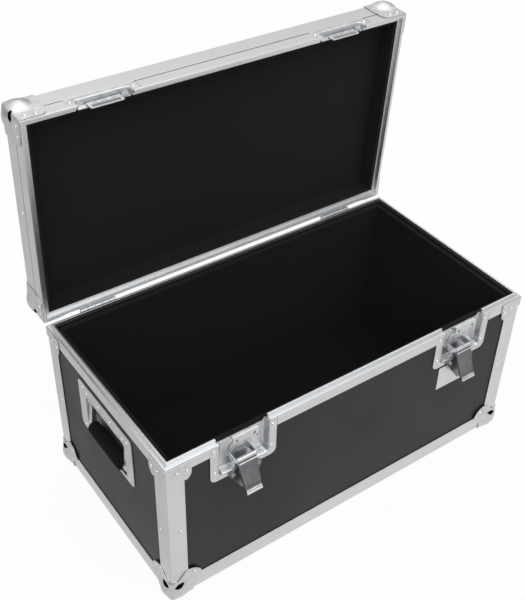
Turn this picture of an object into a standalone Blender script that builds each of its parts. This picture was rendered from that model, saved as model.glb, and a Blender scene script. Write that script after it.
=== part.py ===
"""Accessory flight case: plywood panels in aluminium extrusions, ball corners, two recessed
butterfly latches, two recessed sprung handles and a hinged lid, shown with its lid open.

X runs along the front to the right, Y from the front to the back and Z up. Lengths below are
in millimetres, from a point on the floor under the middle of the base. The frame's own origin
lies behind that point, under the middle of the box around the open case.
"""

import math

import bmesh
import bpy
from mathutils import Matrix, Vector

MM = 0.001

# Whole case, over the extrusions
CASE_L = 650.0
CASE_W = 344.0
BASE_H = 275.5
LID_H = 52.0
LID_OPEN = 86.8
ORIGIN_BEHIND = 17.73

# Sheet and panel thicknesses
GAP = 0.3
PROFILE_T = 1.5
PLY_T = 7.0
SHEET_T = 1.2
WALL_FOAM_T = 8.8
FLOOR_FOAM_T = 5.0
LID_FOAM_T = 6.0
LID_TOP_FOAM_T = 8.0
FOAM_DROP = 4.0

# Extrusions
EDGE_LEG = 29.0
TONGUE_IN = 5.4
TONGUE_H = 5.2
BASE_LEG = 17.5
LID_LEG = 21.0
LID_LIP_IN = 10.8

# Ball corners and braces
BALL_R = 22.0
BALL_IN = 14.0
FOOT_FLAT = 0.5
CORNER_T = 1.5
CORNER_PETAL = ((36.3, 0.0), (34.3, 9.4), (45.8, 21.7), (50.4, 29.3), (50.0, 35.0), (46.6, 41.2))
BRACE_LOBE = (
    (10.0, -16.5), (17.7, -24.5), (29.6, -32.5), (35.0, -33.4), (39.9, -28.1), (41.5, -20.5),
    (40.3, -14.5),
)

# Latches, from the latch centre and the parting plane
LATCH_X = 202.0
LATCH_W = 108.0
LATCH_DOWN = 70.0
KEEPER_UP = 22.7
LATCH_STRIP = 13.5
DISH_BOTTOM = 59.4
DISH_DEPTH = 11.0
DISH_BACK_TOP = 8.0
LATCH_ROUND = 10.0
DRUM_DROP = 36.0
DRUM_R = 19.5
DRUM_T = 2.0
AXLE_R = 5.0
EAR_X = 16.0
EAR_T = 1.5
EAR_R = 2.6
PIN_R = 1.5
FRONT_PIN = (-5.5, 42.0)
REAR_PIN = (0.0, 47.5)
FRONT_WING_L = 53.0
FRONT_WING_HANG = 23.0
REAR_WING_L = 51.0
REAR_WING_HANG = 12.0
WING_W = 31.0
WING_TIP_W = 26.0
WING_EDGE = 3.0
REAR_WING_WIDE = 54.0
REAR_TIP_W = 13.0
WING_T = 1.8
HOOK_W = 40.0
HOOK_H = 11.8
HOOK_T = 1.8
HOOK_LIP = 5.5
HOOK_IN = 7.0
HOOK_DROP = 2.5
HOOK_DEPTH = 3.5
STUD_R = 1.75
STUD_X = 14.0
STUD_DROP = 8.0
STUD_SHORT = 1.0
BOSS_L = 5.8
BOSS_T = 1.0
STRIKE_W = 50.0
STRIKE_DEPTH = 6.0
STRIKE_DOWN = 4.5
STRIKE_BAR = 2.0
STRIKE_UP = 10.0
KEEPER_DISH_UP = 14.0

# Recessed handles on the two ends, from the middle of the end
HANDLE_Y = -1.4
HANDLE_Z = 199.0
PLATE_W = 158.0
PLATE_H = 94.5
PLATE_ROUND = 9.0
MOUTH_W = 117.0
MOUTH_LOW = 40.0
MOUTH_HIGH = 24.0
HANDLE_DEPTH = 14.2
BAIL_R = 2.5
BAIL_ARM_Y = 53.0
BAIL_PIN_REACH = 61.0
BAIL_PIN_DEPTH = 6.0
BAIL_PIN_Z = 15.0
GRIP_R = 11.0
GRIP_L = 95.0
GRIP_DEPTH = 2.4
GRIP_Z = -28.5

# Hinges
HINGE_OUT = 3.9
HINGE_DROP = 1.5
HINGE_X = (-237.0, 226.0)
HINGE_W = 60.0
HINGE_LEAF = 34.0
HINGE_R = 3.3
HINGE_PIN_R = 1.6
LEAF_T = 1.2
KNUCKLES = 5

# Places that follow from the sizes above
LEFT, RIGHT = -CASE_L / 2, CASE_L / 2
FRONT, BACK = -CASE_W / 2, CASE_W / 2
BOTTOM = BALL_R - BALL_IN - FOOT_FLAT
PART = BOTTOM + BASE_H
TOP = PART + LID_H
PANEL_IN = PROFILE_T + GAP
FOAM_IN = PANEL_IN + PLY_T + GAP
HINGE = (0.0, BACK + HINGE_OUT, PART - HINGE_DROP)


# Solids: every one is a list of points and a list of faces

def box(x0, x1, y0, y1, z0, z1):
    """A block between six limits."""
    points = [(x, y, z) for z in (z0, z1) for y in (y0, y1) for x in (x0, x1)]
    faces = [(0, 2, 3, 1), (4, 5, 7, 6), (0, 1, 5, 4), (2, 6, 7, 3), (0, 4, 6, 2), (1, 3, 7, 5)]
    return points, faces


def prism(outline, axis, low, high):
    """An outline swept along an axis. It is given in the two other axes, in their own order."""
    def place(a, b, c):
        return {"x": (c, a, b), "y": (a, c, b), "z": (a, b, c)}[axis]

    count = len(outline)
    points = [place(a, b, low) for a, b in outline] + [place(a, b, high) for a, b in outline]
    faces = [tuple(range(count)), tuple(range(2 * count - 1, count - 1, -1))]
    for i in range(count):
        j = (i + 1) % count
        faces.append((i, j, count + j, count + i))
    return points, faces


def rounded(corners, steps=6):
    """A closed outline from (a, b, radius) corners, each one rounded by its radius."""
    out = []
    count = len(corners)
    for i, (a, b, radius) in enumerate(corners):
        if radius <= 0:
            out.append((a, b))
            continue
        here = Vector((a, b))
        back = (Vector(corners[i - 1][:2]) - here).normalized()
        ahead = (Vector(corners[(i + 1) % count][:2]) - here).normalized()
        half = back.angle(ahead) / 2
        middle = here + (back + ahead).normalized() * radius / math.sin(half)
        start = here + back * radius / math.tan(half) - middle
        end = here + ahead * radius / math.tan(half) - middle
        for k in range(steps + 1):
            out.append(tuple(middle + start.slerp(end, k / steps) * radius))
    return out


def rectangle(a0, a1, b0, b1, radii=(0, 0, 0, 0)):
    """A rectangle, with a radius for each corner from the low-low one round."""
    corners = ((a0, b0), (a1, b0), (a1, b1), (a0, b1))
    return rounded([(a, b, r) for (a, b), r in zip(corners, radii)])


def cylinder(axis, centre, radius, low, high, sides=24):
    """A round bar along an axis, with its centre given in the two other axes."""
    ring = []
    for k in range(sides):
        turn = 2 * math.pi * (k + 0.5) / sides
        ring.append((centre[0] + radius * math.cos(turn), centre[1] + radius * math.sin(turn)))
    return prism(ring, axis, low, high)


def rod(start, end, radius, sides=16):
    """A round bar between two points."""
    a, b = Vector(start), Vector(end)
    turn = (b - a).to_track_quat("Z", "Y").to_matrix()
    points, faces = cylinder("z", (0, 0), radius, 0, (b - a).length, sides)
    return [tuple(turn @ Vector(p) + a) for p in points], faces


def ball(centre, radius, around=24, rings=12):
    """A sphere."""
    points = [(centre[0], centre[1], centre[2] - radius)]
    for i in range(1, rings):
        rise = math.pi * (i / rings - 0.5)
        for k in range(around):
            turn = 2 * math.pi * (k + 0.5) / around
            points.append((
                centre[0] + radius * math.cos(rise) * math.cos(turn),
                centre[1] + radius * math.cos(rise) * math.sin(turn),
                centre[2] + radius * math.sin(rise),
            ))
    points.append((centre[0], centre[1], centre[2] + radius))
    faces = []
    last = len(points) - 1
    for k in range(around):
        n = (k + 1) % around
        faces.append((0, 1 + n, 1 + k))
        faces.append((last, last - around + k, last - around + n))
        for i in range(rings - 2):
            row = 1 + i * around
            faces.append((row + k, row + n, row + around + n, row + around + k))
    return points, faces


def tube(path, radius, sides=16):
    """A round bar bent along a path of points, closed at both ends."""
    spots = [Vector(p) for p in path]
    points, faces = [], []
    side = None
    for i, spot in enumerate(spots):
        ahead = (spots[min(i + 1, len(spots) - 1)] - spot).normalized() if i + 1 < len(spots) else None
        behind = (spot - spots[i - 1]).normalized() if i else None
        along = (ahead or behind) if not (ahead and behind) else (ahead + behind).normalized()
        widen = 1.0 if not (ahead and behind) else 1 / max(0.5, along.dot(ahead))
        if side is None:
            side = along.orthogonal().normalized()
        side = (side - along * side.dot(along)).normalized()
        up = along.cross(side)
        bend = (ahead - behind) if ahead and behind else Vector((0, 0, 0))
        for k in range(sides):
            turn = 2 * math.pi * k / sides
            spoke = side * math.cos(turn) + up * math.sin(turn)
            if bend.length > 1e-6:
                across = bend.normalized()
                spoke = spoke + across * spoke.dot(across) * (widen - 1)
            points.append(tuple(spot + spoke * radius))
    rows = len(spots)
    for i in range(rows - 1):
        for k in range(sides):
            n = (k + 1) % sides
            a, b = i * sides, (i + 1) * sides
            faces.append((a + k, a + n, b + n, b + k))
    faces.append(tuple(range(sides - 1, -1, -1)))
    faces.append(tuple((rows - 1) * sides + k for k in range(sides)))
    return points, faces


def moved(solid, place):
    """The solid with each point put through a function."""
    points, faces = solid
    return [tuple(place(Vector(p))) for p in points], faces


def mirrored(solid, x=1, y=1, z=1):
    """The solid with some axes turned over."""
    return moved(solid, lambda p: (p.x * x, p.y * y, p.z * z))


def mesh_of(name, solid, origin=(0, 0, 0)):
    """A mesh in metres from a solid in millimetres, with its faces outwards."""
    points, faces = solid
    mesh = bpy.data.meshes.new(name)
    scaled = [tuple((a - b) * MM for a, b in zip(p, origin)) for p in points]
    mesh.from_pydata(scaled, [], faces)
    work = bmesh.new()
    work.from_mesh(mesh)
    bmesh.ops.recalc_face_normals(work, faces=work.faces[:])
    work.to_mesh(mesh)
    work.free()
    return mesh


def combine(operation, first, *others):
    """One solid from several, by a Boolean of Blender's that is worked out at once."""
    result = first
    for other in others:
        body = bpy.data.objects.new("body", mesh_of("body", result))
        tool = bpy.data.objects.new("tool", mesh_of("tool", other))
        bpy.context.scene.collection.objects.link(body)
        bpy.context.scene.collection.objects.link(tool)
        change = body.modifiers.new("change", "BOOLEAN")
        change.operation = operation
        change.solver = "EXACT"
        change.object = tool
        graph = bpy.context.evaluated_depsgraph_get()
        done = bpy.data.meshes.new_from_object(body.evaluated_get(graph))
        points = [tuple(v / MM for v in vertex.co) for vertex in done.vertices]
        result = points, [tuple(face.vertices) for face in done.polygons]
        for used in (body, tool):
            mesh = used.data
            bpy.data.objects.remove(used)
            bpy.data.meshes.remove(mesh)
        bpy.data.meshes.remove(done)
    return result


def fuse(first, *others):
    return combine("UNION", first, *others)


def cut(first, *others):
    return combine("DIFFERENCE", first, *others)


# Materials and objects

FINISHES = {
    "laminate": ((0.012, 0.012, 0.012, 1), 0.0, 0.45),
    "aluminium": ((0.72, 0.72, 0.72, 1), 1.0, 0.35),
    "zinc": ((0.62, 0.62, 0.62, 1), 1.0, 0.3),
    "foam": ((0.003, 0.003, 0.003, 1), 0.0, 0.95),
    "rubber": ((0.008, 0.008, 0.008, 1), 0.0, 0.6),
}


def finish(name, kind):
    """A material of the object's own, in one of the finishes above."""
    colour, metallic, roughness = FINISHES[kind]
    material = bpy.data.materials.new(name)
    material.use_nodes = True
    surface = material.node_tree.nodes["Principled BSDF"]
    surface.inputs["Base Color"].default_value = colour
    surface.inputs["Metallic"].default_value = metallic
    surface.inputs["Roughness"].default_value = roughness
    material.diffuse_color = colour
    return material


def in_frame(point):
    """A point of the case from the frame's origin, in metres."""
    return point[0] * MM, (point[1] - ORIGIN_BEHIND) * MM, point[2] * MM


def piece(name, kind, solid, origin=(0, 0, 0), turn=0.0, parent=None):
    """One node: its origin is its joint's point, and turn leans it about X there, in degrees."""
    mesh = mesh_of(name, solid, origin)
    mesh.shade_smooth()
    mesh.set_sharp_from_angle(angle=math.radians(32))
    mesh.materials.append(finish(name, kind))
    made = bpy.data.objects.new(name, mesh)
    bpy.context.scene.collection.objects.link(made)
    made.location = in_frame(origin)
    made.rotation_euler.x = math.radians(turn)
    if parent:
        made.parent = parent
        made.location = [(a - b) * MM for a, b in zip(origin, HINGE)]
    return made


# Corner cutter: what a case corner loses so that the ball sits over it

def corner_loss(radius, reach):
    """The part of the corner block outside a ball, for the corner at zero with the case ahead."""
    block = box(-reach, BALL_IN, -reach, BALL_IN, -reach, BALL_IN)
    return cut(block, ball((BALL_IN,) * 3, radius))


def at_corner(solid, sx, sy, top):
    """Takes a solid from the zero corner to a corner of the case."""
    x = LEFT if sx < 0 else RIGHT
    y = FRONT if sy < 0 else BACK
    z = TOP if top else BOTTOM
    sz = -1 if top else 1
    return moved(solid, lambda p: (x - sx * p.x, y - sy * p.y, z + sz * p.z))


def ball_corner():
    """A pressed three-leg corner with its ball, for the corner at zero."""
    low, high = -CORNER_T - GAP, -GAP
    side = [(CORNER_PETAL[0][0], low)] + list(CORNER_PETAL)
    outline = [(low, low)] + side + [(b, a) for a, b in reversed(side)]
    legs = fuse(*(prism(outline, axis, low, high) for axis in "yxz"))
    reach = 60.0
    shell = cut(legs, corner_loss(BALL_R - CORNER_T / 2, 4.0))
    shell = fuse(shell, ball((BALL_IN,) * 3, BALL_R))
    inside = box(high, reach, high, reach, high, reach)
    inside = cut(inside, corner_loss(BALL_R - CORNER_T, 1.0))
    shell = cut(shell, inside)
    deep = BALL_R - 3.2
    for slot in range(3):
        eye = rounded([(-9.5, 0, 0.6), (0, -2.6, 9), (9.5, 0, 0.6), (0, 2.6, 9)])
        block = prism(eye, "y", -BALL_R - 2, -deep)
        lean = Matrix.Rotation(math.radians(-24), 3, "Y")
        block = moved(block, lambda p: lean @ p + Vector((BALL_IN,) * 3) + Vector((-1.5, 0, 3.5)))
        order = ((0, 1, 2), (1, 0, 2), (0, 2, 1))[slot]
        block = moved(block, lambda p: [p[i] for i in order])
        shell = cut(shell, block)
    return shell


# The base

def window(centre, half, low, y0=FRONT - 5, y1=FRONT + 30):
    """The block that clears a latch dish from the top of the front wall down."""
    return box(centre - half, centre + half, y0, y1, low, PART + 10)


def handle_window(side, grow, depth):
    """The block that clears a handle dish in an end wall."""
    x = LEFT if side < 0 else RIGHT
    reach = sorted((x - side * -5, x - side * depth))
    half = MOUTH_W / 2 + SHEET_T + grow
    return box(
        *reach,
        HANDLE_Y - half, HANDLE_Y + half,
        BOTTOM + HANDLE_Z - MOUTH_LOW - SHEET_T - grow,
        BOTTOM + HANDLE_Z + MOUTH_HIGH + SHEET_T + grow,
    )


def base_panels(losses):
    low, high = BOTTOM + PANEL_IN + PLY_T + GAP, PART - PROFILE_T - GAP
    x0, x1 = LEFT + PANEL_IN, RIGHT - PANEL_IN
    y0, y1 = FRONT + PANEL_IN, BACK - PANEL_IN
    inner = PLY_T + GAP
    half = LATCH_W / 2 - LATCH_STRIP + SHEET_T + 1.0
    front = box(x0, x1, y0, y0 + PLY_T, low, high)
    for x in (-LATCH_X, LATCH_X):
        front = cut(front, window(x, half, PART - DISH_BOTTOM - SHEET_T - 1.0))
    piece("base_front_panel", "laminate", cut(front, *losses[:2]))
    piece("base_back_panel", "laminate", cut(box(x0, x1, y1 - PLY_T, y1, low, high), *losses[2:]))
    for side, name in ((-1, "base_left_panel"), (1, "base_right_panel")):
        outer = x0 if side < 0 else x1
        reach = sorted((outer, outer - side * PLY_T))
        wall = box(*reach, y0 + inner, y1 - inner, low, high)
        piece(name, "laminate", cut(wall, handle_window(side, 2.6, 30)))
    floor = box(x0, x1, y0, y1, BOTTOM + PANEL_IN, BOTTOM + PANEL_IN + PLY_T)
    piece("base_floor_panel", "laminate", cut(floor, *losses))


def base_lining():
    x, y = CASE_L / 2 - FOAM_IN, CASE_W / 2 - FOAM_IN
    low = BOTTOM + PANEL_IN + PLY_T + GAP
    high = PART - FOAM_DROP
    lining = cut(
        box(-x, x, -y, y, low, high),
        box(-x + WALL_FOAM_T, x - WALL_FOAM_T, -y + WALL_FOAM_T, y - WALL_FOAM_T,
            low + FLOOR_FOAM_T, high + 5),
    )
    half = LATCH_W / 2 - LATCH_STRIP + SHEET_T + 1.0
    for centre in (-LATCH_X, LATCH_X):
        pocket = window(centre, half, PART - DISH_BOTTOM - SHEET_T - 1.0,
                        FRONT, FRONT + DISH_DEPTH + SHEET_T + 0.8)
        axle = cylinder("y", (centre, PART - DRUM_DROP), AXLE_R + 1,
                        FRONT, FRONT + DISH_DEPTH + SHEET_T + 2.0)
        lining = cut(lining, pocket, axle)
    for side in (-1, 1):
        lining = cut(lining, handle_window(side, 2.6, HANDLE_DEPTH + SHEET_T + 0.6))
    piece("base_lining", "foam", lining)


def base_profiles(losses):
    ring = cut(
        box(LEFT, RIGHT, FRONT, BACK, BOTTOM, BOTTOM + EDGE_LEG),
        box(LEFT + PROFILE_T, RIGHT - PROFILE_T, FRONT + PROFILE_T, BACK - PROFILE_T,
            BOTTOM + PROFILE_T, TOP),
        box(LEFT + EDGE_LEG, RIGHT - EDGE_LEG, FRONT + EDGE_LEG, BACK - EDGE_LEG,
            BOTTOM - 5, TOP),
    )
    piece("bottom_edge_frame", "aluminium", cut(ring, *losses))
    low = BOTTOM + EDGE_LEG + GAP
    high = PART - BASE_LEG - GAP
    names = {(-1, -1): "front_left", (1, -1): "front_right", (-1, 1): "back_left", (1, 1): "back_right"}
    for (sx, sy), name in names.items():
        angle = [
            (0, 0), (EDGE_LEG, 0), (EDGE_LEG, PROFILE_T), (PROFILE_T, PROFILE_T),
            (PROFILE_T, EDGE_LEG), (0, EDGE_LEG),
        ]
        post = prism(angle, "z", low, high)
        x = LEFT if sx < 0 else RIGHT
        y = FRONT if sy < 0 else BACK
        piece(f"{name}_corner_post", "aluminium",
              moved(post, lambda p: (x - sx * p.x, y - sy * p.y, p.z)))


def base_rim_section():
    """The male closing extrusion, as inset and height over the parting plane."""
    inner = PANEL_IN + PLY_T
    return [
        (0, -BASE_LEG), (0, -0.7), (0.7, 0), (TONGUE_IN, 0), (TONGUE_IN, TONGUE_H - 0.6),
        (TONGUE_IN + 0.6, TONGUE_H), (inner - 0.6, TONGUE_H), (inner, TONGUE_H - 0.6),
        (inner, -PROFILE_T), (PROFILE_T, -PROFILE_T), (PROFILE_T, -BASE_LEG),
    ]


def lid_rim_section():
    """The female closing extrusion, as inset and height over the parting plane."""
    inner = TONGUE_IN - GAP
    roof = TONGUE_H + GAP
    return [
        (0, LID_LEG), (0, GAP + 0.7), (0.7, GAP), (inner, GAP), (inner, roof),
        (LID_LIP_IN, roof), (LID_LIP_IN, roof + PROFILE_T), (inner - PROFILE_T, roof + PROFILE_T),
        (inner - PROFILE_T, GAP + PROFILE_T), (PROFILE_T, GAP + PROFILE_T), (PROFILE_T, LID_LEG),
    ]


def rim_ring(section):
    """A closing rim all round, with its section turned at each corner."""
    corners = ((1, 1), (-1, 1), (-1, -1), (1, -1))
    points = []
    for sx, sy in corners:
        points += [(sx * (RIGHT - d), sy * (BACK - d), PART + h) for d, h in section]
    count = len(section)
    faces = []
    for i in range(4):
        a, b = i * count, (i + 1) % 4 * count
        for k in range(count):
            n = (k + 1) % count
            faces.append((a + k, a + n, b + n, b + k))
    return points, faces


def front_part(reach, grow):
    """The block that holds the front side of a rim, up to the mitres at its two ends."""
    outline = [
        (LEFT - 5 - grow, FRONT - 5), (RIGHT + 5 + grow, FRONT - 5),
        (RIGHT - reach + grow, FRONT + reach), (LEFT + reach - grow, FRONT + reach),
    ]
    return prism(outline, "z", PART - 60, PART + 60)


def rim_sides(section, reach):
    """The front side of a closing rim, and the three other sides as one length."""
    ring = rim_ring(section)
    front = combine("INTERSECT", ring, front_part(reach, 0))
    return front, cut(ring, front_part(reach, GAP * math.sqrt(2)))


def three_lengths(side, low, high):
    """The front side of a rim in three lengths: each latch's mouth parts them, and the outer leg
    stops at its flange, between the two heights.
    """
    mouth = LATCH_W / 2 - LATCH_STRIP + SHEET_T + GAP
    flange = LATCH_W / 2 + GAP
    for x in (-LATCH_X, LATCH_X):
        side = cut(
            side,
            box(x - mouth, x + mouth, FRONT - 20, FRONT + 40, PART - 80, PART + 80),
            box(x - flange, x + flange, FRONT - 1, FRONT + PANEL_IN, low, high),
        )
    out = []
    for left, right in ((LEFT - 5, -LATCH_X), (-LATCH_X, LATCH_X), (LATCH_X, RIGHT + 5)):
        keep = box(left, right, FRONT - 20, FRONT + 40, PART - 80, PART + 80)
        out.append(combine("INTERSECT", side, keep))
    return out


def base_rims():
    front, rest = rim_sides(base_rim_section(), PANEL_IN + PLY_T + 3)
    names = ("left", "middle", "right")
    lengths = three_lengths(front, PART - BASE_LEG - 1, PART - PROFILE_T)
    for name, length in zip(names, lengths):
        piece(f"base_rim_front_{name}", "aluminium", length)
    piece("base_rim_sides_and_back", "aluminium", rest)


def corner_pieces(corner):
    """The foot corners, flattened where they stand, and the braces under the parting plane."""
    names = {(-1, -1): "front_left", (1, -1): "front_right", (-1, 1): "back_left", (1, 1): "back_right"}
    low = -SHEET_T - GAP
    outline = [(low, BRACE_LOBE[0][1])] + list(BRACE_LOBE) + [(BRACE_LOBE[-1][0], -1.0), (low, -1.0)]
    brace = fuse(prism(outline, "y", low, -GAP), prism(outline, "x", low, -GAP))
    foot = cut(corner, box(-60, 60, -60, 60, -60, -BOTTOM))
    for (sx, sy), name in names.items():
        piece(f"{name}_foot_corner", "zinc", at_corner(foot, sx, sy, False))
        x = LEFT if sx < 0 else RIGHT
        y = FRONT if sy < 0 else BACK
        piece(f"{name}_brace", "zinc",
              moved(brace, lambda p: (x - sx * p.x, y - sy * p.y, PART + p.z)))


# Latches

def draw_line(x, y):
    """The point at a depth on the line that the claw is guided along, in and down."""
    seat = FRONT + HOOK_DEPTH + HOOK_T / 2
    return x, y, PART - STUD_DROP - (y - seat) * HOOK_DROP / HOOK_IN


def latch_dish(x):
    """The lower dish with its flange, its drum bearing and its two guide studs."""
    half = LATCH_W / 2
    mouth = half - LATCH_STRIP
    top = PART - 0.6
    low = PART - DISH_BOTTOM
    face = FRONT + PROFILE_T - SHEET_T
    flange = prism(
        rectangle(x - half, x + half, PART - LATCH_DOWN, PART - PROFILE_T - GAP,
                  (LATCH_ROUND, LATCH_ROUND, 0, 0)),
        "y", face, face + SHEET_T)
    back = FRONT + DISH_DEPTH
    body = prism(
        rectangle(x - mouth - SHEET_T, x + mouth + SHEET_T, low - SHEET_T, top, (7, 7, 0, 0)),
        "y", face, back + SHEET_T)
    hollow = prism(
        rectangle(x - mouth, x + mouth, low, PART + 5, (6, 6, 0, 0)),
        "y", face - 5, back)
    dish = cut(fuse(flange, body), hollow)
    dish = cut(
        dish,
        box(x - mouth, x + mouth, back - 1, back + 5, PART - DISH_BACK_TOP, PART + 5),
        cylinder("y", (x, PART - DRUM_DROP), AXLE_R + GAP, back - 1, back + 5, 32),
    )
    for stud in (-STUD_X, STUD_X):
        start = draw_line(x + stud, FRONT + STUD_SHORT)
        dish = fuse(dish, rod(start, draw_line(x + stud, back + 0.6), STUD_R))
    return dish


def drum(x):
    """The turning yoke: a disc on its axle, two ears and the two wing pins."""
    back = FRONT + DISH_DEPTH - GAP
    centre = (x, PART - DRUM_DROP)
    body = cylinder("y", centre, DRUM_R, back - DRUM_T, back, 48)
    body = fuse(body, cylinder("y", centre, AXLE_R, back - 1, FRONT + DISH_DEPTH + SHEET_T + 1.4, 32))
    front, rear = FRONT_PIN, REAR_PIN
    ear = rounded([
        (FRONT + front[0] - EAR_R, PART - front[1] - EAR_R, EAR_R * 0.8),
        (FRONT + rear[0] + EAR_R, PART - rear[1] - EAR_R, 1.0),
        (back - 1, PART - rear[1] - EAR_R, 0),
        (back - 1, PART - front[1] + EAR_R, 0),
        (FRONT + front[0] - EAR_R, PART - front[1] + EAR_R, EAR_R * 0.8),
    ])
    for side in (-1, 1):
        reach = sorted((x + side * EAR_X, x + side * (EAR_X + EAR_T)))
        body = fuse(body, prism(ear, "x", *reach))
    ends = EAR_X + EAR_T + 0.5
    for depth, drop in (front, rear):
        pin = cylinder("x", (FRONT + depth, PART - drop), PIN_R, x - ends, x + ends, 16)
        body = fuse(body, pin)
    return body


def wing(x, pin, length, half_widths, barrel, lip):
    """A wing hanging straight down from its pin: half_widths are (distance, half width) pairs."""
    y, z = FRONT + pin[0], PART - pin[1]
    right = [(x + w, z - s) for s, w in half_widths]
    left = [(x - w, z - s) for s, w in reversed(half_widths)]
    plate = prism(right + left, "y", y - WING_T / 2, y + WING_T / 2)
    body = fuse(plate, cylinder("x", (y, z), barrel, x - WING_W / 2, x + WING_W / 2, 24))
    if lip:
        tip = half_widths[-1][1]
        body = fuse(body, cylinder("x", (y - 0.7, z - length), lip, x - tip, x + tip, 20))
        wide = half_widths[-2][1]
        for side in (-1, 1):
            edge = [(x + side * wide, z - 6), (x + side * (wide - SHEET_T), z - 6),
                    (x + side * (tip - SHEET_T), z - length), (x + side * tip, z - length)]
            body = fuse(body, prism(edge, "y", y, y + WING_EDGE))
    return cut(body, cylinder("x", (y, z), PIN_R + GAP, x - 40, x + 40, 16))


def hook(x):
    """The claw bar in its rest place: out and up by its whole travel."""
    y, top = FRONT + HOOK_DEPTH - HOOK_IN, PART - 0.2 + HOOK_DROP
    half = HOOK_W / 2
    section = [
        (y, top - HOOK_H), (y, top), (y + HOOK_LIP, top), (y + HOOK_LIP, top - HOOK_T),
        (y + HOOK_T, top - HOOK_T), (y + HOOK_T, top - HOOK_H),
    ]
    bar = prism(section, "x", x - half, x + half)
    for stud in (-STUD_X, STUD_X):
        boss = rod(draw_line(x + stud, y + 0.6), draw_line(x + stud, y + BOSS_L),
                   STUD_R + GAP + BOSS_T)
        bar = fuse(bar, boss)
        bar = cut(bar, rod(draw_line(x + stud, y - 5), draw_line(x + stud, y + 15),
                           STUD_R + GAP))
    return bar


def keeper(x):
    """The upper dish in the lid wall, with its strike, for the closed lid."""
    half = LATCH_W / 2
    mouth = half - LATCH_STRIP
    face = FRONT + PROFILE_T - SHEET_T
    back = FRONT + DISH_DEPTH
    low = PART + 0.6
    flange = prism(
        rectangle(x - half, x + half, PART + PROFILE_T + 2 * GAP, PART + KEEPER_UP, (0, 0, 4, 4)),
        "y", face, face + SHEET_T)
    body = prism(
        rectangle(x - mouth - SHEET_T, x + mouth + SHEET_T, low, PART + KEEPER_DISH_UP + SHEET_T,
                  (0, 0, 6, 6)),
        "y", face, back + SHEET_T)
    hollow = prism(
        rectangle(x - mouth, x + mouth, PART - 5, PART + KEEPER_DISH_UP, (0, 0, 5, 5)),
        "y", face - 5, back)
    dish = cut(fuse(flange, body), hollow)
    y = FRONT + STRIKE_DEPTH
    strike = box(x - STRIKE_W / 2, x + STRIKE_W / 2, y, y + PROFILE_T,
                 PART - STRIKE_DOWN, PART + STRIKE_UP)
    strike = cut(strike, box(x - HOOK_W / 2 - 1.5, x + HOOK_W / 2 + 1.5, y - 1, y + 3,
                             PART - STRIKE_DOWN + STRIKE_BAR, PART + 4.0))
    shelf = box(x - STRIKE_W / 2, x + STRIKE_W / 2, y, back + 0.5,
                PART + STRIKE_UP - PROFILE_T, PART + STRIKE_UP)
    return fuse(dish, fuse(strike, shelf))


def latches(lid):
    front_widths = [(0.0, WING_W / 2), (3.0, WING_W / 2), (FRONT_WING_L, WING_TIP_W / 2)]
    rear_widths = [
        (0.0, WING_W / 2), (11.5, WING_W / 2), (17.5, REAR_WING_WIDE / 2),
        (20.5, REAR_WING_WIDE / 2), (REAR_WING_L, REAR_TIP_W / 2),
    ]
    for x, side in ((-LATCH_X, "left"), (LATCH_X, "right")):
        piece(f"{side}_latch_dish", "zinc", latch_dish(x))
        piece(f"{side}_latch_drum", "zinc", drum(x), (x, FRONT, PART - DRUM_DROP))
        piece(f"{side}_latch_hook", "zinc", hook(x), (x, FRONT, PART))
        front = wing(x, FRONT_PIN, FRONT_WING_L, front_widths, 3.0, 2.0)
        place = (x, FRONT + FRONT_PIN[0], PART - FRONT_PIN[1])
        piece(f"{side}_latch_front_wing", "zinc", front, place, -FRONT_WING_HANG)
        rear = wing(x, REAR_PIN, REAR_WING_L, rear_widths, 2.4, 0)
        place = (x, FRONT + REAR_PIN[0], PART - REAR_PIN[1])
        piece(f"{side}_latch_rear_wing", "zinc", rear, place, -REAR_WING_HANG)
        piece(f"{side}_latch_keeper", "zinc", keeper(x), HINGE, parent=lid)


# Handles: modelled on the left end, and mirrored for the right one

def on_end(solid, side):
    return solid if side < 0 else mirrored(solid, x=-1)


def handle_dish():
    z = BOTTOM + HANDLE_Z
    face = LEFT + PROFILE_T - SHEET_T
    back = LEFT + HANDLE_DEPTH
    y0, y1 = HANDLE_Y - MOUTH_W / 2, HANDLE_Y + MOUTH_W / 2
    z0, z1 = z - MOUTH_LOW, z + MOUTH_HIGH
    plate = prism(
        rectangle(HANDLE_Y - PLATE_W / 2, HANDLE_Y + PLATE_W / 2, z - PLATE_H / 2, z + PLATE_H / 2,
                  (PLATE_ROUND,) * 4),
        "x", face, face + SHEET_T)
    tray = prism(
        rectangle(y0 - SHEET_T, y1 + SHEET_T, z0 - SHEET_T, z1 + SHEET_T, (7,) * 4),
        "x", face, back + SHEET_T)
    hollow = prism(rectangle(y0, y1, z0, z1, (6,) * 4), "x", face - 5, back)
    pins = cylinder("y", (LEFT + BAIL_PIN_DEPTH, z + BAIL_PIN_Z), BAIL_R + GAP,
                    y0 - 5, y1 + 5, 20)
    return cut(fuse(plate, tray), hollow, pins)


def arc(centre, start, end, steps=5):
    """Points of a bend about a centre, from one point to the other."""
    middle = Vector(centre)
    a, b = Vector(start) - middle, Vector(end) - middle
    return [tuple(middle + a.slerp(b, k / steps) * a.length) for k in range(steps + 1)]


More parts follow.
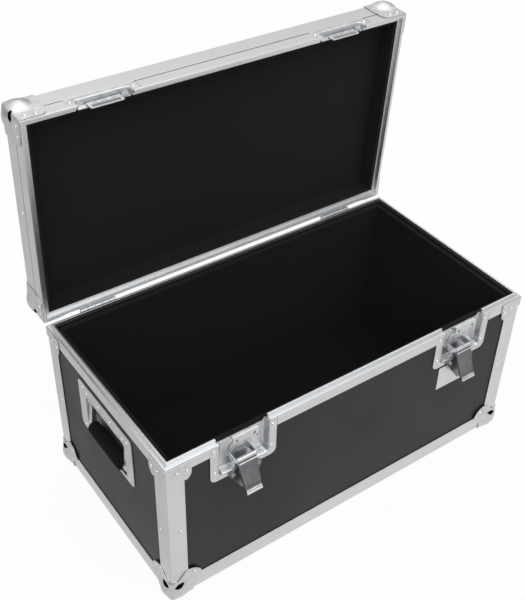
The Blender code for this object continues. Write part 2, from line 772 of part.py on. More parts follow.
def bail():
    """The bent bar that the grip is on, with its two pins in the dish."""
    z = BOTTOM + HANDLE_Z
    bend = 5.0
    pin_x, pin_z = LEFT + BAIL_PIN_DEPTH, z + BAIL_PIN_Z
    grip_x, grip_z = LEFT + GRIP_DEPTH, z + GRIP_Z
    down = Vector((grip_x - pin_x, 0, grip_z - pin_z)).normalized()
    half = []
    top = Vector((pin_x, BAIL_ARM_Y, pin_z))
    low = Vector((grip_x, BAIL_ARM_Y, grip_z))
    half += [(pin_x, BAIL_PIN_REACH, pin_z)]
    turn = top + down * bend
    half += arc(turn + Vector((0, bend, 0)), top + Vector((0, bend, 0)), turn)
    turn = low - down * bend
    half += arc(turn - Vector((0, bend, 0)), turn, low - Vector((0, bend, 0)))
    path = half + [(x, -y, zz) for x, y, zz in reversed(half)]
    path = [(x, y + HANDLE_Y, zz) for x, y, zz in path]
    return tube(path, BAIL_R)


def grip():
    z = BOTTOM + HANDLE_Z + GRIP_Z
    x = LEFT + GRIP_DEPTH
    half = GRIP_L / 2
    sides = 32
    points, faces = [], []
    rows = ((-half, 0.62), (-half + 1.2, 0.8), (-half + 4, 0.93), (-half + 12, 1.0),
            (half - 12, 1.0), (half - 4, 0.93), (half - 1.2, 0.8), (half, 0.62))
    for along, share in rows:
        for k in range(sides):
            turn = 2 * math.pi * k / sides
            points.append((x + GRIP_R * share * math.cos(turn), HANDLE_Y + along,
                           z + GRIP_R * share * math.sin(turn)))
    for i in range(len(rows) - 1):
        for k in range(sides):
            n = (k + 1) % sides
            a, b = i * sides, (i + 1) * sides
            faces.append((a + k, a + n, b + n, b + k))
    faces.append(tuple(range(sides)))
    faces.append(tuple((len(rows) - 1) * sides + k for k in range(sides)))
    bore = cylinder("y", (x, z), BAIL_R + GAP, HANDLE_Y - half - 5, HANDLE_Y + half + 5, 20)
    return cut((points, faces), bore)


def handles():
    dish, bar, hold = handle_dish(), bail(), grip()
    for side, name in ((-1, "left"), (1, "right")):
        x = (LEFT + BAIL_PIN_DEPTH) * -side
        pivot = (x, HANDLE_Y, BOTTOM + HANDLE_Z + BAIL_PIN_Z)
        piece(f"{name}_handle_dish", "zinc", on_end(dish, side))
        piece(f"{name}_handle_bail", "zinc", on_end(bar, side), pivot)
        piece(f"{name}_handle_grip", "rubber", on_end(hold, side), pivot)


# Hinges

def hinge_leaf(x, up):
    """One leaf with its knuckles, for the closed lid; the lower one also holds the pin."""
    y, z = HINGE[1], HINGE[2]
    width = HINGE_W / KNUCKLES
    near = BACK + GAP
    low, high = (z + 1.0, PART + HINGE_LEAF) if up else (PART - HINGE_LEAF, z - 1.0)
    leaf = box(x - HINGE_W / 2, x + HINGE_W / 2, near, near + LEAF_T, low, high)
    room = cylinder("x", (y, z), HINGE_R + GAP, x - 60, x + 60, 32)
    leaf = cut(leaf, room)
    start = x - HINGE_W / 2
    edge = high - 0.4 if not up else low + 0.4
    for k in range(KNUCKLES):
        if (k % 2 == 1) != up:
            continue
        a = start + k * width + (GAP / 2 if k else 0)
        b = start + (k + 1) * width - (GAP / 2 if k < KNUCKLES - 1 else 0)
        barrel = cylinder("x", (y, z), HINGE_R, a, b, 32)
        tie_low, tie_high = (z, z + 4.5) if up else (z - 4.5, z)
        tie = box(a, b, near, near + LEAF_T, tie_low, tie_high)
        leaf = fuse(leaf, fuse(barrel, tie))
    if up:
        return cut(leaf, cylinder("x", (y, z), HINGE_PIN_R + GAP, x - 60, x + 60, 16))
    pin = cylinder("x", (y, z), HINGE_PIN_R, x - HINGE_W / 2 + 1, x + HINGE_W / 2 - 1, 16)
    return fuse(leaf, pin)


def hinges(lid):
    for x, side in zip(HINGE_X, ("left", "right")):
        piece(f"{side}_hinge_base_leaf", "zinc", hinge_leaf(x, False))
        piece(f"{side}_hinge_lid_leaf", "zinc", hinge_leaf(x, True), HINGE, parent=lid)


# The lid, modelled closed and carried by an empty on the hinge axis

def lid_parts(lid, corner, losses):
    low = PART + TONGUE_H + GAP + PROFILE_T + GAP
    high = TOP - PANEL_IN - PLY_T - GAP
    x0, x1 = LEFT + PANEL_IN, RIGHT - PANEL_IN
    y0, y1 = FRONT + PANEL_IN, BACK - PANEL_IN
    inner = PLY_T + GAP

    def lid_piece(name, kind, solid):
        piece(name, kind, solid, HINGE, parent=lid)

    half = LATCH_W / 2 - LATCH_STRIP + SHEET_T + 1.0
    front = box(x0, x1, y0, y0 + PLY_T, low, high)
    for x in (-LATCH_X, LATCH_X):
        front = cut(front, box(x - half, x + half, FRONT - 5, FRONT + 30,
                               PART, PART + KEEPER_DISH_UP + SHEET_T + 1.0))
    lid_piece("lid_front_panel", "laminate", front)
    lid_piece("lid_back_panel", "laminate", box(x0, x1, y1 - PLY_T, y1, low, high))
    lid_piece("lid_left_panel", "laminate", box(x0, x0 + PLY_T, y0 + inner, y1 - inner, low, high))
    lid_piece("lid_right_panel", "laminate", box(x1 - PLY_T, x1, y0 + inner, y1 - inner, low, high))
    top = box(x0, x1, y0, y1, TOP - PANEL_IN - PLY_T, TOP - PANEL_IN)
    lid_piece("lid_top_panel", "laminate", cut(top, *losses))

    x, y = CASE_L / 2 - FOAM_IN, CASE_W / 2 - FOAM_IN
    lining = cut(
        box(-x, x, -y, y, low, high),
        box(-x + LID_FOAM_T, x - LID_FOAM_T, -y + LID_FOAM_T, y - LID_FOAM_T,
            low - 5, high - LID_TOP_FOAM_T),
    )
    for centre in (-LATCH_X, LATCH_X):
        lining = cut(lining, box(
            centre - half, centre + half, FRONT, FRONT + DISH_DEPTH + SHEET_T + 0.8,
            PART, PART + KEEPER_DISH_UP + SHEET_T + 1.0))
    lid_piece("lid_lining", "foam", lining)

    ring = cut(
        box(LEFT, RIGHT, FRONT, BACK, TOP - EDGE_LEG, TOP),
        box(LEFT + PROFILE_T, RIGHT - PROFILE_T, FRONT + PROFILE_T, BACK - PROFILE_T,
            BOTTOM, TOP - PROFILE_T),
        box(LEFT + EDGE_LEG, RIGHT - EDGE_LEG, FRONT + EDGE_LEG, BACK - EDGE_LEG, BOTTOM, TOP + 5),
    )
    lid_piece("lid_edge_frame", "aluminium", cut(ring, *losses))

    front, rest = rim_sides(lid_rim_section(), LID_LIP_IN + 3)
    names = ("left", "middle", "right")
    lengths = three_lengths(front, PART + GAP + PROFILE_T, PART + LID_LEG + 1)
    for name, length in zip(names, lengths):
        lid_piece(f"lid_rim_front_{name}", "aluminium", length)
    lid_piece("lid_rim_sides_and_back", "aluminium", rest)

    names = {(-1, -1): "front_left", (1, -1): "front_right", (-1, 1): "back_left", (1, 1): "back_right"}
    for (sx, sy), name in names.items():
        lid_piece(f"lid_{name}_corner", "zinc", at_corner(corner, sx, sy, True))


def main():
    for old in list(bpy.data.objects):
        bpy.data.objects.remove(old)
    scene = bpy.context.scene
    scene.unit_settings.system = "METRIC"
    scene.unit_settings.scale_length = 1.0

    lid = bpy.data.objects.new("lid_pivot", None)
    lid.location = in_frame(HINGE)
    lid.rotation_euler.x = math.radians(-LID_OPEN)
    scene.collection.objects.link(lid)

    loss = corner_loss(BALL_R - CORNER_T - GAP, 1.0)
    corners = ((-1, -1), (1, -1), (-1, 1), (1, 1))
    low_losses = [at_corner(loss, sx, sy, False) for sx, sy in corners]
    high_losses = [at_corner(loss, sx, sy, True) for sx, sy in corners]
    corner = ball_corner()

    base_panels(low_losses)
    base_lining()
    base_profiles(low_losses)
    base_rims()
    corner_pieces(corner)
    latches(lid)
    handles()
    hinges(lid)
    lid_parts(lid, corner, high_losses)


main()
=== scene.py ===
"""Looks of an accessory flight case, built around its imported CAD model.

Every length in this file is in millimetres unless its name ends in _m, from a point on the
floor under the middle of the base: X along the front to the right, Y to the back and Z up.
The meshes are written in metres in the CAD model's frame, whose origin lies a little behind
that point. The lid's pieces are modelled closed and then turned open about the hinge.
"""

import logging
import math
from dataclasses import dataclass
from enum import Enum
from typing import Callable, Sequence

import bmesh
import bpy
from mathutils import Matrix, Vector


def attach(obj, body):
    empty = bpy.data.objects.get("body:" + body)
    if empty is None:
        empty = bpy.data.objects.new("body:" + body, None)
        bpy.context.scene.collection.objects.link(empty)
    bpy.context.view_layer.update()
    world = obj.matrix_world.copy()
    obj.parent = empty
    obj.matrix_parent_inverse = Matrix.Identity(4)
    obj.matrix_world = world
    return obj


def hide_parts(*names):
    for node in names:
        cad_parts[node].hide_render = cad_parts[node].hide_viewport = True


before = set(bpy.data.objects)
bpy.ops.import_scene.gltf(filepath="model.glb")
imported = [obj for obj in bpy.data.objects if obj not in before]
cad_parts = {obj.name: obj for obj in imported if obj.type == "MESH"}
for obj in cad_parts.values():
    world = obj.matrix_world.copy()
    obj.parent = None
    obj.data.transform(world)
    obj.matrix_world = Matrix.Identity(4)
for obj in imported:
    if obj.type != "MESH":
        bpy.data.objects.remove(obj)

log = logging.getLogger("flight_case")

Point = tuple[float, float, float]
Flat = tuple[float, float]
Solid = tuple[list[Point], list[tuple[int, ...]]]

MM = 0.001


class Axis(Enum):
    """The direction that a length of extrusion runs in."""

    X = 0
    Y = 1
    Z = 2


class Face(Enum):
    """The four upright faces, each with the way to it from the middle of the case."""

    FRONT = (0, -1)
    RIGHT = (1, 0)
    BACK = (0, 1)
    LEFT = (-1, 0)

    @property
    def runs(self) -> Axis:
        """The direction that a length of extrusion runs in on this face."""
        return Axis.X if self.value[0] == 0 else Axis.Y


class Side(Enum):
    """The two sides that the latches, hinges and handles come in."""

    LEFT = -1
    RIGHT = 1

    @property
    def word(self) -> str:
        """The side's name, as it stands in the CAD nodes' names."""
        return self.name.lower()


@dataclass(frozen=True)
class CaseSize:
    """The sizes that the whole case shares."""

    length: float = 650.0
    width: float = 344.0
    base_height: float = 275.5
    lid_height: float = 52.0
    open_angle: float = 86.8
    ball_radius: float = 22.0
    ball_inset: float = 14.0
    foot_flat: float = 0.5
    hinge_out: float = 3.9
    hinge_drop: float = 1.5
    origin_behind: float = 17.73

    @property
    def left(self) -> float:
        """X of the left end."""
        return -self.length / 2

    @property
    def right(self) -> float:
        """X of the right end."""
        return self.length / 2

    @property
    def front(self) -> float:
        """Y of the front face."""
        return -self.width / 2

    @property
    def back(self) -> float:
        """Y of the back face."""
        return self.width / 2

    @property
    def bottom(self) -> float:
        """Z of the box's underside, which the ball corners hold off the floor."""
        return self.ball_radius - self.ball_inset - self.foot_flat

    @property
    def parting(self) -> float:
        """Z of the plane where the lid meets the base."""
        return self.bottom + self.base_height

    @property
    def top(self) -> float:
        """Z of the closed lid's top."""
        return self.parting + self.lid_height


CASE = CaseSize()
GAP = 0.3
PROFILE_T = 1.5
PANEL_IN = PROFILE_T + GAP
SHEET_T = 1.2
# How far the middle of each latch stands from the middle of the front
LATCH_X = 202.0


def in_frame(point: Sequence[float]) -> Point:
    """A point of the case from the CAD frame's origin, in metres."""
    return point[0] * MM, (point[1] - CASE.origin_behind) * MM, point[2] * MM


def opened(solid: Solid) -> Solid:
    """Turns a solid of the closed lid to where the lid stands open.

    Args:
        solid: The piece as it lies on the closed case.

    Returns:
        The piece turned about the hinge pins.
    """
    hinge = Vector((0.0, CASE.back + CASE.hinge_out, CASE.parting - CASE.hinge_drop))
    turn = Matrix.Rotation(math.radians(-CASE.open_angle), 3, "X")
    points, faces = solid
    return [tuple(turn @ (Vector(p) - hinge) + hinge) for p in points], faces


# Solids and surfaces


def joined(*solids: Solid) -> Solid:
    """Puts several solids in one mesh, each keeping its own surface.

    Args:
        solids: The solids.

    Returns:
        All their points and faces.
    """
    points: list[Point] = []
    faces: list[tuple[int, ...]] = []
    for some_points, some_faces in solids:
        start = len(points)
        points += some_points
        faces += [tuple(start + i for i in face) for face in some_faces]
    return points, faces


def moved(solid: Solid, place: Callable[[Vector], Sequence[float]]) -> Solid:
    """Puts each point of a solid through a function.

    Args:
        solid: The solid.
        place: Takes a point and gives its new place.

    Returns:
        The solid in its new place.
    """
    points, faces = solid
    return [tuple(place(Vector(p))) for p in points], faces


def ordered(axis: Axis, along: float, a: float, b: float) -> Point:
    """Puts a place along an axis and the two other values in the order X, Y and Z."""
    return {Axis.X: (along, a, b), Axis.Y: (a, along, b), Axis.Z: (a, b, along)}[axis]


def box(x0: float, x1: float, y0: float, y1: float, z0: float, z1: float) -> Solid:
    """Makes a block.

    Args:
        x0: Its left.
        x1: Its right.
        y0: Its front.
        y1: Its back.
        z0: Its underside.
        z1: Its top.

    Returns:
        The closed solid.
    """
    points = [(x, y, z) for z in (z0, z1) for y in (y0, y1) for x in (x0, x1)]
    faces = [(0, 2, 3, 1), (4, 5, 7, 6), (0, 1, 5, 4), (2, 6, 7, 3), (0, 4, 6, 2), (1, 3, 7, 5)]
    return points, faces


def prism(outline: Sequence[Flat], axis: Axis, low: float, high: float) -> Solid:
    """Sweeps an outline along an axis.

    Args:
        outline: Points in the two other axes, in their own order.
        axis: The direction of the sweep.
        low: Where it starts.
        high: Where it ends.

    Returns:
        The closed solid.
    """
    count = len(outline)
    points = [ordered(axis, along, a, b) for along in (low, high) for a, b in outline]
    faces: list[tuple[int, ...]] = [tuple(range(count)), tuple(range(2 * count - 1, count - 1, -1))]
    for i in range(count):
        j = (i + 1) % count
        faces.append((i, j, count + j, count + i))
    return points, faces


def rounded(corners: Sequence[tuple[float, float, float]], steps: int = 5) -> list[Flat]:
    """Rounds the corners of an outline.

    Args:
        corners: Each corner's two values and its radius.
        steps: Pieces that each rounding has.

    Returns:
        The outline's points.
    """
    out: list[Flat] = []
    count = len(corners)
    for i, (a, b, radius) in enumerate(corners):
        here = Vector((a, b))
        back = (Vector(corners[i - 1][:2]) - here).normalized()
        ahead = (Vector(corners[(i + 1) % count][:2]) - here).normalized()
        half = back.angle(ahead) / 2
        if radius <= 0 or half > math.pi / 2 - 0.01:
            out.append((a, b))
            continue
        middle = here + (back + ahead).normalized() * radius / math.sin(half)
        start = here + back * radius / math.tan(half) - middle
        end = here + ahead * radius / math.tan(half) - middle
        for k in range(steps + 1):
            out.append(tuple(middle + start.slerp(end, k / steps) * radius))
    return out


def rectangle(a0: float, a1: float, b0: float, b1: float, radius: float = 0.0,
              steps: int = 5) -> list[Flat]:
    """A rectangle with its four corners rounded alike."""
    corners = ((a0, b0), (a1, b0), (a1, b1), (a0, b1))
    return rounded([(a, b, radius) for a, b in corners], steps)


def cylinder(axis: Axis, centre: Flat, radius: float, low: float, high: float,
             sides: int = 32) -> Solid:
    """Makes a round bar along an axis.

    Args:
        axis: The direction that it runs in.
        centre: Its place in the two other axes.
        radius: Its radius.
        low: Where it starts.
        high: Where it ends.
        sides: Steps round.

    Returns:
        The closed solid.
    """
    ring = []
    for k in range(sides):
        turn = 2 * math.pi * k / sides
        ring.append((centre[0] + radius * math.cos(turn), centre[1] + radius * math.sin(turn)))
    return prism(ring, axis, low, high)


def loft(loops: Sequence[Sequence[Point]], closed: bool = True, start: bool = False,
         end: bool = False) -> Solid:
    """Joins loops of equal length with strips of faces.

    Args:
        loops: The loops, each with the same number of points.
        closed: Whether each loop's last point meets its first.
        start: Whether the first loop is filled.
        end: Whether the last loop is filled.

    Returns:
        The surface.
    """
    count = len(loops[0])
    points = [p for loop in loops for p in loop]
    faces: list[tuple[int, ...]] = []
    for i in range(len(loops) - 1):
        for k in range(count if closed else count - 1):
            n = (k + 1) % count
            faces.append((i * count + k, i * count + n, (i + 1) * count + n, (i + 1) * count + k))
    if start:
        faces.append(tuple(range(count - 1, -1, -1)))
    if end:
        faces.append(tuple((len(loops) - 1) * count + k for k in range(count)))
    return points, faces


def rings(outline: Sequence[Flat], axis: Axis, centre: Flat, sides: int) -> list[list[Point]]:
    """Turns each (place along the axis, radius) pair of an outline into a ring of points.

    Args:
        outline: The outline from one end to the other.
        axis: The axis.
        centre: The axis's place in the two other axes.
        sides: Points in each ring.

    Returns:
        The rings.
    """
    loops = []
    for along, radius in outline:
        loop = []
        for k in range(sides):
            turn = 2 * math.pi * k / sides
            loop.append(ordered(axis, along, centre[0] + radius * math.cos(turn),
                                centre[1] + radius * math.sin(turn)))
        loops.append(loop)
    return loops


def revolved(outline: Sequence[Flat], axis: Axis, centre: Flat, sides: int = 32) -> Solid:
    """Turns an outline of (place along the axis, radius) pairs about an axis.

    Args:
        outline: The outline from one end to the other.
        axis: The axis.
        centre: The axis's place in the two other axes.
        sides: Steps round.

    Returns:
        The solid, its two ends filled.
    """
    return loft(rings(outline, axis, centre, sides), True, True, True)


def tube(path: Sequence[Point], radius: float, sides: int = 20) -> Solid:
    """Makes a round bar that is bent along a path.

    Args:
        path: The points of its middle line.
        radius: Its radius.
        sides: Steps round.

    Returns:
        The solid, its two ends filled.
    """
    spots = [Vector(p) for p in path]
    loops = []
    side = None
    for i, spot in enumerate(spots):
        ahead = (spots[i + 1] - spot).normalized() if i + 1 < len(spots) else None
        behind = (spot - spots[i - 1]).normalized() if i else None
        known = [way for way in (ahead, behind) if way is not None]
        along = known[0] if len(known) == 1 else (known[0] + known[1]).normalized()
        if side is None:
            side = along.orthogonal().normalized()
        side = (side - along * side.dot(along)).normalized()
        up = along.cross(side)
        loops.append([
            tuple(spot + (side * math.cos(t) + up * math.sin(t)) * radius)
            for t in (2 * math.pi * k / sides for k in range(sides))
        ])
    return loft(loops, True, True, True)


# Objects


def stood(name: str, data: bpy.types.ID) -> bpy.types.Object:
    """Puts a new object in the scene.

    Args:
        name: Its name.
        data: Its mesh, light or camera.

    Returns:
        The object.
    """
    made = bpy.data.objects.new(name, data)
    bpy.context.scene.collection.objects.link(made)
    return made


def dropped(*spare: bpy.types.Object) -> None:
    """Removes objects and their meshes.

    Args:
        spare: The objects.
    """
    for made in spare:
        mesh = made.data
        bpy.data.objects.remove(made)
        bpy.data.meshes.remove(mesh)


def piece(name: str, solid: Solid, materials: Sequence[bpy.types.Material],
          bevel: float = 0.0, wall: float = 0.0, smooth: float = 35.0,
          away: Point | None = None) -> bpy.types.Object:
    """Makes a finished object from a solid or a surface.

    Args:
        name: The object's name.
        solid: Its points, in millimetres, and faces.
        materials: Its materials, in the order of their slots.
        bevel: Width of the edges' rounding, or zero for none.
        wall: Thickness that a surface is given inwards, or zero where it is a solid.
        smooth: Angle, in degrees, over which an edge stays sharp.
        away: A point behind an open surface, which its faces turn away from. The wall's
            hidden side then takes the second material, where there is one.

    Returns:
        The object, with its modifiers applied, at the origin.
    """
    mesh = bpy.data.meshes.new(name)
    points, faces = solid
    mesh.from_pydata([in_frame(p) for p in points], [], faces)
    work = bmesh.new()
    work.from_mesh(mesh)
    bmesh.ops.remove_doubles(work, verts=work.verts[:], dist=1e-7)
    bmesh.ops.recalc_face_normals(work, faces=work.faces[:])
    if away:
        behind = Vector(in_frame(away))
        facing = sum((f.calc_center_median() - behind).dot(f.normal) * f.calc_area()
                     for f in work.faces)
        if facing < 0:
            bmesh.ops.reverse_faces(work, faces=work.faces[:])
    work.to_mesh(mesh)
    work.free()
    made = stood(name, mesh)
    if wall:
        change = made.modifiers.new("wall", "SOLIDIFY")
        change.thickness = wall * MM
        change.offset = -1.0
        change.use_even_offset = True
        change.material_offset = len(materials) - 1
    if bevel:
        change = made.modifiers.new("edges", "BEVEL")
        change.width = bevel * MM
        change.segments = 2
        change.limit_method = "ANGLE"
        change.angle_limit = math.radians(40)
        change.use_clamp_overlap = True
    for material in materials:
        made.data.materials.append(material)
    if wall or bevel:
        made = applied(made)
    return shaded(made, smooth)


def shaded(made: bpy.types.Object, smooth: float) -> bpy.types.Object:
    """Smooths an object's shading and keeps its flat faces flat.

    Args:
        made: The object.
        smooth: Angle, in degrees, over which an edge stays sharp.

    Returns:
        The same object.
    """
    made.data.shade_smooth()
    made.data.set_sharp_from_angle(angle=math.radians(smooth))
    change = made.modifiers.new("flat faces", "WEIGHTED_NORMAL")
    change.keep_sharp = True
    return applied(made)


def applied(made: bpy.types.Object) -> bpy.types.Object:
    """Turns an object's modifiers into plain mesh.

    Args:
        made: The object.

    Returns:
        The same object, with the evaluated mesh and no modifier.
    """
    graph = bpy.context.evaluated_depsgraph_get()
    mesh = bpy.data.meshes.new_from_object(made.evaluated_get(graph))
    made.modifiers.clear()
    old = made.data
    made.data = mesh
    mesh.name = made.name
    bpy.data.meshes.remove(old)
    return made


def changed(first: Solid, operation: str, *others: Solid) -> Solid:
    """Joins solids with a solid, or cuts them from it.

    Args:
        first: The solid that changes.
        operation: UNION, DIFFERENCE or INTERSECT.
        others: The solids that it is joined with or cut by.

    Returns:
        The changed solid.
    """
    result = first
    for other in others:
        bodies = []
        for solid in (result, other):
            mesh = bpy.data.meshes.new("body")
            mesh.from_pydata([tuple(v * MM for v in p) for p in solid[0]], [], solid[1])
            work = bmesh.new()
            work.from_mesh(mesh)
            bmesh.ops.recalc_face_normals(work, faces=work.faces[:])
            work.to_mesh(mesh)
            work.free()
            bodies.append(stood("body", mesh))
        change = bodies[0].modifiers.new("change", "BOOLEAN")
        change.operation = operation
        change.solver = "EXACT"
        change.object = bodies[1]
        graph = bpy.context.evaluated_depsgraph_get()
        done = bpy.data.meshes.new_from_object(bodies[0].evaluated_get(graph))
        points = [tuple(v / MM for v in vertex.co) for vertex in done.vertices]
        result = points, [tuple(face.vertices) for face in done.polygons]
        dropped(*bodies)
        bpy.data.meshes.remove(done)
    return result


def settle(made: bpy.types.Object, body: str, slot: str, *nodes: str) -> bpy.types.Object:
    """Gives a piece to its body and hides the CAD nodes that it stands for.

    Args:
        made: The piece.
        body: The CAD body that it moves with.
        slot: A material slot's name, which is not used.
        nodes: The CAD nodes that it replaces.

    Returns:
        The piece.
    """
    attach(made, body)
    if nodes:
        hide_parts(*nodes)
    log.info("%s: %d faces on %s", made.name, len(made.data.polygons), body)
    return made


# Finishes


def linear(code: str) -> tuple[float, float, float, float]:
    """Turns an sRGB hex colour into Blender's linear one.

    Args:
        code: Six hex digits.

    Returns:
        The linear colour with full alpha.
    """
    values = []
    for i in range(0, 6, 2):
        share = int(code[i:i + 2], 16) / 255
        values.append(share / 12.92 if share <= 0.04045 else ((share + 0.055) / 1.055) ** 2.4)
    return values[0], values[1], values[2], 1.0


def add(tree: bpy.types.NodeTree, kind: str, settings: dict | None = None,
        values: dict | None = None) -> bpy.types.Node:
    """Adds a node with its settings, values and links.

    Args:
        tree: The node tree.
        kind: The node's type name.
        settings: Properties of the node.
        values: Input sockets by name or number, each with a value or a socket to link from.

    Returns:
        The node.
    """
    node = tree.nodes.new(kind)
    for key, value in (settings or {}).items():
        setattr(node, key, value)
    for key, value in (values or {}).items():
        if isinstance(value, bpy.types.NodeSocket):
            tree.links.new(value, node.inputs[key])
        else:
            node.inputs[key].default_value = value
    return node


def blank(name: str) -> tuple[bpy.types.Material, bpy.types.NodeTree, bpy.types.Node]:
    """A material with only its shader and output.

    Args:
        name: The material's name.

    Returns:
        The material, its node tree and its shader.
    """
    material = bpy.data.materials.new(name)
    material.use_nodes = True
    tree = material.node_tree
    return material, tree, tree.nodes["Principled BSDF"]


@dataclass(frozen=True)
class Laminate:
    """Phenolic laminate pressed on plywood with a fine pebbled plate: black, with a soft sheen."""

    colour: str = "0e0e0f"
    worn: str = "141415"
    roughness: float = 0.46
    pebble: float = 1.4
    depth_m: float = 0.00006

    def material(self) -> bpy.types.Material:
        """Makes the laminate's material.

        Returns:
            The material.
        """
        material, tree, shader = blank("Black phenolic laminate")
        place = add(tree, "ShaderNodeTexCoord").outputs["Object"]
        broad = add(tree, "ShaderNodeTexNoise", None,
                    {"Vector": place, "Scale": 9.0, "Detail": 4.0})
        tone = add(tree, "ShaderNodeMix", {"data_type": "RGBA"},
                   {"Factor": broad.outputs["Fac"], "A": linear(self.colour),
                     "B": linear(self.worn)})
        tree.links.new(tone.outputs["Result"], shader.inputs["Base Color"])
        # One pebble of the pressed plate every 1.4 mm
        grain = add(tree, "ShaderNodeTexVoronoi", {"feature": "SMOOTH_F1"},
                    {"Vector": place, "Scale": 1 / (self.pebble * MM), "Smoothness": 0.8})
        sheen = add(tree, "ShaderNodeMapRange", None,
                    {"Value": broad.outputs["Fac"], "From Min": 0.3, "From Max": 0.7,
                     "To Min": self.roughness - 0.04, "To Max": self.roughness + 0.05})
        tree.links.new(sheen.outputs["Result"], shader.inputs["Roughness"])
        bump = add(tree, "ShaderNodeBump", None,
                   {"Height": grain.outputs["Distance"], "Distance": self.depth_m, "Strength": 0.5})
        tree.links.new(bump.outputs["Normal"], shader.inputs["Normal"])
        shader.inputs["IOR"].default_value = 1.43
        return material


@dataclass(frozen=True)
class AnodisedAluminium:
    """Extruded and satin anodised aluminium: pale, with faint die lines along its length."""

    colour: str = "e6e7e8"
    shade: str = "d8dadc"
    roughness: float = 0.36
    line: float = 1.2
    depth_m: float = 0.00001

    def material(self, axis: Axis) -> bpy.types.Material:
        """Makes the material of a length that runs along an axis.

        Args:
            axis: The direction of the die lines.

        Returns:
            The material.
        """
        material, tree, shader = blank(f"Anodised aluminium along {axis.name}")
        place = add(tree, "ShaderNodeTexCoord").outputs["Object"]
        # The die leaves a line about every millimetre, and each runs for hundreds
        scale = [1 / (self.line * MM)] * 3
        scale[axis.value] = 2.5
        stretched = add(tree, "ShaderNodeMapping", None, {"Vector": place, "Scale": scale})
        lines = add(tree, "ShaderNodeTexNoise", None,
                    {"Vector": stretched.outputs["Vector"], "Scale": 1.0, "Detail": 5.0,
                     "Roughness": 0.6})
        cloud = add(tree, "ShaderNodeTexNoise", None,
                    {"Vector": place, "Scale": 22.0, "Detail": 3.0})
        both = add(tree, "ShaderNodeMath", {"operation": "MULTIPLY_ADD"},
                   {0: cloud.outputs["Fac"], 1: 0.5, 2: lines.outputs["Fac"]})
        tone = add(tree, "ShaderNodeMapRange", None,
                   {"Value": both.outputs["Value"], "From Min": 0.5, "From Max": 1.0,
                    "To Min": 0.0, "To Max": 1.0})
        mixed = add(tree, "ShaderNodeMix", {"data_type": "RGBA"},
                    {"Factor": tone.outputs["Result"], "A": linear(self.shade),
                     "B": linear(self.colour)})
        tree.links.new(mixed.outputs["Result"], shader.inputs["Base Color"])
        rough = add(tree, "ShaderNodeMapRange", None,
                    {"Value": both.outputs["Value"], "From Min": 0.5, "From Max": 1.0,
                     "To Min": self.roughness + 0.07, "To Max": self.roughness - 0.05})
        tree.links.new(rough.outputs["Result"], shader.inputs["Roughness"])
        bump = add(tree, "ShaderNodeBump", None,
                   {"Height": lines.outputs["Fac"], "Distance": self.depth_m, "Strength": 0.6})
        tree.links.new(bump.outputs["Normal"], shader.inputs["Normal"])
        shader.inputs["Metallic"].default_value = 1.0
        return material


@dataclass(frozen=True)
class PlatedSteel:
    """Pressed steel with bright zinc plating: it mirrors softly, with a faint cloudy spangle."""

    name: str = "Bright zinc plated steel"
    colour: str = "e8e9ea"
    shade: str = "cfd1d3"
    roughness: float = 0.38
    spangle: float = 5.0
    ripple_m: float = 0.00002

    def material(self) -> bpy.types.Material:
        """Makes the plating's material.

        Returns:
            The material.
        """
        material, tree, shader = blank(self.name)
        place = add(tree, "ShaderNodeTexCoord").outputs["Object"]
        cells = add(tree, "ShaderNodeTexVoronoi", {"feature": "SMOOTH_F1"},
                    {"Vector": place, "Scale": 1 / (self.spangle * MM), "Smoothness": 1.0})
        cloud = add(tree, "ShaderNodeTexNoise", None,
                    {"Vector": place, "Scale": 90.0, "Detail": 5.0})
        both = add(tree, "ShaderNodeMath", {"operation": "MULTIPLY_ADD"},
                   {0: cells.outputs["Distance"], 1: 0.35, 2: cloud.outputs["Fac"]})
        tone = add(tree, "ShaderNodeMapRange", None,
                   {"Value": both.outputs["Value"], "From Min": 0.4, "From Max": 0.95})
        mixed = add(tree, "ShaderNodeMix", {"data_type": "RGBA"},
                    {"Factor": tone.outputs["Result"], "A": linear(self.shade),
                     "B": linear(self.colour)})
        tree.links.new(mixed.outputs["Result"], shader.inputs["Base Color"])
        rough = add(tree, "ShaderNodeMapRange", None,
                    {"Value": cloud.outputs["Fac"], "From Min": 0.3, "From Max": 0.7,
                     "To Min": self.roughness - 0.05, "To Max": self.roughness + 0.08})
        tree.links.new(rough.outputs["Result"], shader.inputs["Roughness"])
        bump = add(tree, "ShaderNodeBump", None,
                   {"Height": cloud.outputs["Fac"], "Distance": self.ripple_m, "Strength": 0.4})
        tree.links.new(bump.outputs["Normal"], shader.inputs["Normal"])
        shader.inputs["Metallic"].default_value = 1.0
        return material


